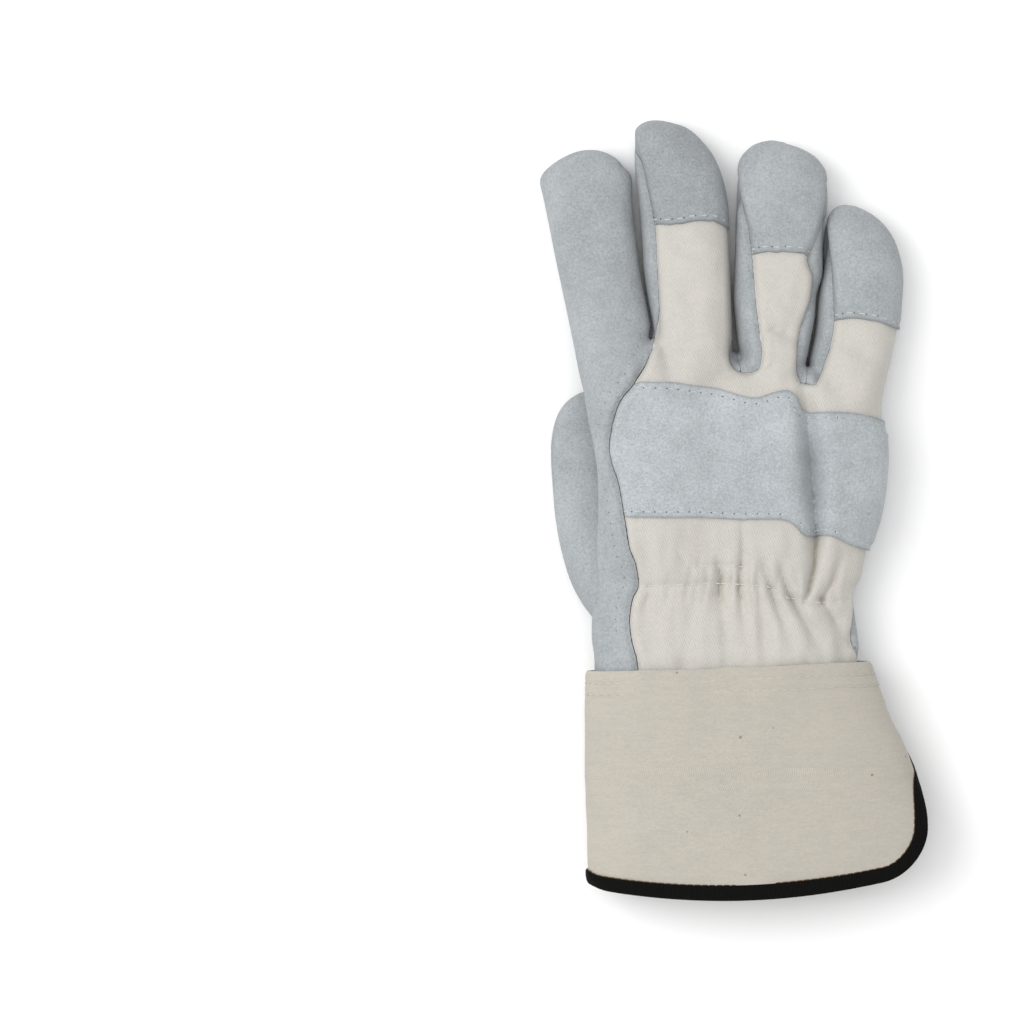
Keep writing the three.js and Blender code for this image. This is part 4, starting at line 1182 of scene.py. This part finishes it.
# %% Node groups for the finishes
def shader_group(name, inputs, outputs):
    """An empty node group that takes a vector and some numbers, and gives some numbers."""
    tree = bpy.data.node_groups.new(name, "ShaderNodeTree")
    tree.interface.new_socket("Vector", in_out="INPUT", socket_type="NodeSocketVector")
    for label, value in inputs.items():
        tree.interface.new_socket(label, in_out="INPUT", socket_type="NodeSocketFloat").default_value = value
    for label in outputs:
        tree.interface.new_socket(label, in_out="OUTPUT", socket_type="NodeSocketFloat")
    return tree, tree.nodes.new("NodeGroupInput").outputs, tree.nodes.new("NodeGroupOutput").inputs


def calculate(tree, operation, first, second):
    return add_node(tree, "ShaderNodeMath", {"operation": operation}, {0: first, 1: second}).outputs[0]


def noise(tree, vector, **settings):
    return add_node(tree, "ShaderNodeTexNoise", {}, {"Vector": vector, **settings}).outputs["Fac"]


def mix(tree, share, first, second):
    made = add_node(tree, "ShaderNodeMix", {"data_type": "FLOAT"}, {0: share, 2: first, 3: second})
    return made.outputs[0]


def mottle_group():
    """Clouds and grain: a factor round 0.5."""
    sizes = {"Cloud Size": 12.0, "Grain Size": 0.8, "Grain Share": 0.5}
    tree, given, out = shader_group("mottle", sizes, ["Factor"])
    do = functools.partial(calculate, tree)
    place = given["Vector"]
    clouds = noise(tree, place, Scale=do("DIVIDE", 1, given["Cloud Size"]), Detail=4.0, Roughness=0.6)
    grain = noise(tree, place, Scale=do("DIVIDE", 1, given["Grain Size"]), Detail=3.0, Roughness=0.7)
    tree.links.new(mix(tree, given["Grain Share"], clouds, grain), out["Factor"])
    return tree


def weave_group():
    """Diagonal ribs of a twill, broken up by its threads. At each band they turn back, as in herringbone."""
    sizes = {"Rib Pitch": 0.8, "Thread Pitch": 0.6, "Slope": 0.5, "Band": 1000.0, "Waver": 0.5}
    tree, given, out = shader_group("twill", sizes, ["Rib", "Height"])
    do = functools.partial(calculate, tree)
    across, along, _ = add_node(tree, "ShaderNodeSeparateXYZ", {}, {0: given["Vector"]}).outputs
    drift = noise(tree, given["Vector"], Scale=0.3, Detail=2.0)
    patchy = noise(tree, given["Vector"], Scale=0.9, Detail=3.0)
    in_band = do("PINGPONG", do("ADD", along, 500), given["Band"])
    slanted = do("ADD", across, do("MULTIPLY", in_band, given["Slope"]))
    moved = do("ADD", slanted, do("MULTIPLY", drift, given["Waver"]))

    def stripes(place, pitch):
        angle = do("MULTIPLY", do("DIVIDE", place, pitch), 2 * math.pi)
        return do("ADD", do("MULTIPLY", do("SINE", angle, 0), 0.5), 0.5)

    ribs = do("MULTIPLY", stripes(moved, given["Rib Pitch"]), patchy)
    threads = stripes(do("SUBTRACT", along, across), given["Thread Pitch"])
    tree.links.new(ribs, out["Rib"])
    tree.links.new(do("ADD", ribs, do("MULTIPLY", threads, 0.15)), out["Height"])
    return tree


def fleck_group():
    """Small stray flecks: 1 on a fleck, 0 elsewhere."""
    tree, given, out = shader_group("flecks", {"Spacing": 9.0, "Size": 0.05}, ["Mask"])
    do = functools.partial(calculate, tree)
    place = given["Vector"]
    spread = {"Vector": place, "Scale": do("DIVIDE", 1, given["Spacing"]), "Randomness": 1.0}
    cells = add_node(tree, "ShaderNodeTexVoronoi", {}, spread).outputs["Distance"]
    edge = do("MULTIPLY", given["Size"], noise(tree, place, Scale=1.6))
    tree.links.new(do("LESS_THAN", cells, edge), out["Mask"])
    return tree


MOTTLE, TWILL, FLECKS = mottle_group(), weave_group(), fleck_group()
for group in (MOTTLE, TWILL, FLECKS):
    items = group.interface.items_tree
    print(group.name, "outputs", [item.name for item in items if item.in_out == "OUTPUT"])

# %% [markdown]
# ## Suede, twill and canvas
#
# Split leather has a short nap that catches light unevenly. The back is a drill, a cotton with
# diagonal ribs, and the cuff a coarser canvas with seed flecks. Photographed cloth as a texture
# would be quicker, but it repeats and fixes the scale. Here each colour is a chain of blends on the
# material's own shader, and values that don't vary are set on its sockets.

# %% Materials
def blank_material(name, roughness, sheen=0.1, specular=0.12):
    """A material, its nodes and shader, and Object coordinates in millimetres."""
    material = bpy.data.materials.new(name)
    material.use_nodes = True
    tree = material.node_tree
    shader = tree.nodes["Principled BSDF"]
    fixed = {
        "Roughness": roughness, "Sheen Weight": sheen, "Sheen Roughness": 0.5, "Specular IOR Level": specular,
    }
    for label, value in fixed.items():
        shader.inputs[label].default_value = value
    place = add_node(tree, "ShaderNodeTexCoord").outputs["Object"]
    scaled = add_node(tree, "ShaderNodeMapping", {}, {"Vector": place, "Scale": (1000, 1000, 1000)})
    return material, tree, shader, scaled.outputs[0]


def use_group(tree, group, vector, **inputs):
    named = {name.replace("_", " "): value for name, value in inputs.items()}
    return add_node(tree, "ShaderNodeGroup", {"node_tree": group}, {"Vector": vector, **named}).outputs


def attribute(tree, name, output="Fac"):
    return add_node(tree, "ShaderNodeAttribute", {"attribute_name": name}).outputs[output]


def blend(tree, share, first, second, strength=None):
    """Mixes two colours. A strength weakens the share."""
    if strength is not None:
        share = calculate(tree, "MULTIPLY", share, strength)
    return add_node(tree, "ShaderNodeMix", {"data_type": "RGBA"}, {0: share, 6: first, 7: second}).outputs[2]


def contrast(tree, value, low, high):
    return add_node(tree, "ShaderNodeMapRange", {}, {0: value, 1: low, 2: high}).outputs[0]


def bump(tree, shader, height, distance, strength):
    inputs = {"Height": height, "Distance": distance * MM, "Strength": strength}
    tree.links.new(add_node(tree, "ShaderNodeBump", {}, inputs).outputs[0], shader.inputs["Normal"])


def scaled_colour(colour, factor):
    return tuple(min(1, factor * value) for value in colour[:3]) + (1,)


SUEDE_PALE, SUEDE_DARK = (0.362, 0.385, 0.4, 1), (0.3, 0.32, 0.334, 1)


def suede(name, tone):
    """Clouds, then the nap's dark and pale grain, painted shade along the raw edges, and a few dark dots."""
    pale, dark = scaled_colour(SUEDE_PALE, tone), scaled_colour(SUEDE_DARK, tone)
    material, tree, shader, place = blank_material(name, 0.95)
    mix_in = functools.partial(blend, tree)
    clouds = use_group(tree, MOTTLE, place, Cloud_Size=24.0, Grain_Size=7.0, Grain_Share=0.3)["Factor"]
    nap = use_group(tree, MOTTLE, place, Cloud_Size=0.95, Grain_Size=0.42, Grain_Share=0.55)["Factor"]
    colour = mix_in(contrast(tree, clouds, 0.4, 0.6), dark, pale)
    colour = mix_in(contrast(tree, nap, 0.5, 0.9), colour, scaled_colour(dark, 0.42))
    colour = mix_in(contrast(tree, nap, 0.5, 0.1), colour, scaled_colour(pale, 1.5))
    # painted shade along the raw edges
    colour = mix_in(attribute(tree, "raw_edge_shade"), colour, scaled_colour(dark, 0.5), 0.6)
    # a few small dark dots at random
    dark_dots = use_group(tree, FLECKS, place, Spacing=9.0, Size=0.08)["Mask"]
    tree.links.new(mix_in(dark_dots, colour, scaled_colour(dark, 0.5), 0.4), shader.inputs["Base Color"])
    bump(tree, shader, nap, 0.45, 0.7)
    return material


def drill(name, pale, dark, ribbed, flecked=False, painted_crease_shade=None, rib_share=0.85, slub_share=0.0, flat=None):
    """Twilled cloth. On steep sides the ribs run round them, and painted shade darkens the creases towards a
    tan colour where "fold" is deep.
    """
    material, tree, shader, place = blank_material(name, 0.92)
    mix_in = functools.partial(blend, tree)
    cloth = attribute(tree, flat, "Vector") if flat else place
    ribs = use_group(tree, TWILL, cloth, **ribbed)
    rib, height = ribs["Rib"], ribs["Height"]
    if painted_crease_shade:
        parts = add_node(tree, "ShaderNodeSeparateXYZ", {}, {0: place}).outputs
        turned = {"X": parts["Z"], "Y": parts["Y"], "Z": parts["X"]}
        from_side = add_node(tree, "ShaderNodeCombineXYZ", {}, turned).outputs[0]
        on_side = use_group(tree, TWILL, from_side, **ribbed)
        share = contrast(tree, attribute(tree, "steep"), 0.6, 0.8)
        rib, height = (mix(tree, share, ribs[output], on_side[output]) for output in ("Rib", "Height"))
    clouds = use_group(tree, MOTTLE, place, Cloud_Size=17.0, Grain_Size=0.8, Grain_Share=0.45)["Factor"]
    tint = use_group(tree, MOTTLE, place, Cloud_Size=20.0, Grain_Size=5.0, Grain_Share=0.3)["Factor"]
    pinker = tuple(value * factor for value, factor in zip(pale, (1.0, 0.975, 0.955, 1)))
    colour = mix_in(contrast(tree, clouds, 0.3, 0.7), dark, pale)
    colour = mix_in(contrast(tree, tint, 0.44, 0.72), colour, pinker)
    colour = mix_in(rib, colour, scaled_colour(dark, 0.7), rib_share)
    if slub_share:
        stretch = {"Vector": cloth, "Scale": (0.25, 1.3, 1.3)}
        drawn = add_node(tree, "ShaderNodeMapping", {}, stretch).outputs[0]
        slubs = use_group(tree, MOTTLE, drawn, Cloud_Size=2.4, Grain_Size=0.8, Grain_Share=0.6)["Factor"]
        colour = mix_in(contrast(tree, slubs, 0.42, 0.68), colour, scaled_colour(dark, 0.7), slub_share)
    if painted_crease_shade:
        # painted shade: the creases darkened towards a tan colour, by the depth kept in "fold"
        colour = mix_in(contrast(tree, attribute(tree, "fold"), 0.45, 1.6), colour, painted_crease_shade, 0.5)
    if flecked:
        seeds = use_group(tree, FLECKS, place, Spacing=8.5, Size=0.11)["Mask"]
        colour = mix_in(seeds, colour, (0.16, 0.09, 0.04, 1), 0.6)
    tree.links.new(colour, shader.inputs["Base Color"])
    bump(tree, shader, height, 0.16, 0.5)
    return material


def two_tone(name, group, output, darker, paler, surface, relief=0, **inputs):
    """A plain finish: two colours parted by one of the groups."""
    material, tree, shader, place = blank_material(name, *surface)
    made = use_group(tree, group, place, **inputs)
    tree.links.new(blend(tree, made[output], darker, paler), shader.inputs["Base Color"])
    if relief:
        bump(tree, shader, made["Height"], relief, 0.5)
    return material


def thread(name, darker, paler, sheen=0.1, pitch=0.35):
    return two_tone(name, TWILL, "Rib", darker, paler, (0.8, sheen, 0.2), Rib_Pitch=pitch)


leather_finish = suede("blue_grey_suede", 1.0)
paler_leather = suede("paler_suede", 1.2)
darker_leather = suede("darker_suede", 0.9)
cotton_finish = drill(
    "cream_cotton_drill", (0.565, 0.549, 0.512, 1), (0.508, 0.49, 0.453, 1), {"Rib_Pitch": 0.9, "Waver": 1.4},
    # the colour of the painted shade in the creases
    painted_crease_shade=(0.34, 0.29, 0.22, 1),
)
canvas_finish = drill(
    "natural_canvas", (0.505, 0.478, 0.423, 1), (0.455, 0.427, 0.374, 1),
    {"Rib_Pitch": 0.8, "Slope": 0.9, "Band": 2.5},
    flecked=True, rib_share=0.95, slub_share=0.36, flat="unrolled",
)
tape_finish = two_tone(
    "black_cotton_tape", TWILL, "Rib", (0.0015, 0.0015, 0.0015, 1), (0.009, 0.008, 0.007, 1), (0.9, 0.0, 0.1),
    relief=0.12, Rib_Pitch=0.9, Slope=0.1,
)
# the needle holes are dark dots: painted shade in the holes
hole_shade_finish = two_tone(
    "painted_needle_hole_shade", MOTTLE, "Factor", (0.06, 0.07, 0.075, 1), (0.14, 0.16, 0.17, 1), (1.0, 0.0, 0.0),
    Cloud_Size=2.0,
)
thread_finish = thread("pale_thread", (0.43, 0.457, 0.472, 1), (0.52, 0.55, 0.562, 1), sheen=0.2)
white_finish = thread("white_thread", (0.55, 0.535, 0.495, 1), (0.62, 0.605, 0.565, 1))
canvas_thread = thread("canvas_thread", (0.49, 0.465, 0.413, 1), (0.57, 0.545, 0.492, 1))
brown_finish = thread("brown_thread", (0.1, 0.055, 0.02, 1), (0.2, 0.12, 0.05, 1), pitch=0.4)
print("materials:", [made.name for made in (leather_finish, cotton_finish, canvas_finish, tape_finish)])

# %% [markdown]
# ## Dressing the part
#
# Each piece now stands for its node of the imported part, rides on the part's one body and names the
# finish that it takes. The strap's hide is paler than the rest, and one cap's is darker, so they
# have tones of their own.

# %% Dress every node
SLOTS = {"leather": leather_finish, "back_cotton": cotton_finish, "cuff_canvas": canvas_finish,
         "binding_tape": tape_finish}


def dress(piece, slot, material=None, node=None):
    piece.data.materials.clear()
    piece.data.materials.append(material or SLOTS[slot])
    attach(piece, "root")
    if node:
        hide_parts(node)


TONES = {"knuckle_strap": paler_leather, "middle_tip": darker_leather}
for name, (piece, _, _) in panels.items():
    slot = "back_cotton" if name == "back" else "leather"
    dress(piece, slot, TONES.get(name), None if name == "tongue" else name)
dress(thumb_piece, "leather", leather_finish, "thumb")
dress(cuff_piece, "cuff_canvas", node="cuff")
dress(binding_piece, "binding_tape", node="cuff_binding")

SEWN = {  # the kind of row, the slot, the finish, and one stitch's sizes
    "leather_stitches": ("leather", "leather", thread_finish,
                         {"Start": 1.4, "Length": 2.7, "Width": 0.62, "Height": 0.36}),
    # dark dots of painted shade where the needle holes are
    "leather_needle_hole_shades": ("leather", "leather", hole_shade_finish,
                             {"Start": 3.4, "Length": 0.62, "Width": 0.58, "Height": 0.3}),
    "strip_needle_hole_shades": ("holes", "leather", hole_shade_finish,
                           {"Start": 1.0, "Length": 0.5, "Width": 0.42, "Height": 0.25}),
    "elastic_stitches": ("cotton", "back_cotton", white_finish,
                         {"Pitch": 4.6, "Start": 0.6, "Length": 3.6, "Width": 0.55, "Height": 0.45}),
    "cuff_stitches": ("canvas", "cuff_canvas", canvas_thread,
                      {"Pitch": 3.4, "Start": 0.6, "Length": 2.9, "Width": 0.42, "Height": 0.25}),
    "tape_stitches": ("tape", "binding_tape", brown_finish,
                      {"Pitch": 2.6, "Start": 0.6, "Length": 2.7, "Width": 0.42, "Height": 0.4}),
}
for name, (kind, slot, finish, sizes) in SEWN.items():
    piece = sew(name, rows[kind], finish, sizes)
    dress(piece, slot, finish)
    print(piece.name, len(piece.data.polygons), "faces")

# %% [markdown]
# ## Floor and light
#
# A catalogue photograph has a pale floor and hardly any shadow. A bright world alone would light the
# folds evenly and flatten them. So two big soft lamps join it, one overhead and one from the
# thumb's side.

# %% Floor and lights
HALF = 3.0
FLOOR_COLOUR = (0.93, 0.93, 0.93, 1)
BELOW = 0.5  # mm, so that stitches that reach under the glove stay above it
corners = [(-HALF, -HALF, 0), (HALF, -HALF, 0), (HALF, HALF, 0), (-HALF, HALF, 0)]
floor = new_object("floor", np.array(corners) / MM, [(0, 1, 2, 3)])
floor.location.z = -BELOW * MM
floor_finish = bpy.data.materials.new("pale_floor")
floor_finish.use_nodes = True
floor_shader = floor_finish.node_tree.nodes["Principled BSDF"]
floor_shader.inputs["Base Color"].default_value = FLOOR_COLOUR
floor_shader.inputs["Roughness"].default_value = 1.0
floor.data.materials.append(floor_finish)

world = bpy.context.scene.world or bpy.data.worlds.new("studio")
bpy.context.scene.world = world
world.use_nodes = True
background = world.node_tree.nodes["Background"]
background.inputs["Color"].default_value = (1, 1, 1, 1)
background.inputs["Strength"].default_value = 0.8
bpy.context.scene.view_settings.view_transform = "Standard"  # so that a white floor comes out white


def lamp(name, place, size, power):
    light = bpy.data.lights.new(name, "AREA")
    light.shape = "SQUARE"
    light.size = size
    light.energy = power
    made = bpy.data.objects.new(name, light)
    made.location = place
    made.rotation_euler = (-made.location).to_track_quat("-Z", "Y").to_euler()
    bpy.context.collection.objects.link(made)
    return made


lamps = [lamp("overhead", (-0.2, 0.2, 2.2), 1.2, 10), lamp("key", (-1.1, 0.3, 1.6), 1.1, 17)]
print("lamps:", [light.name for light in lamps])
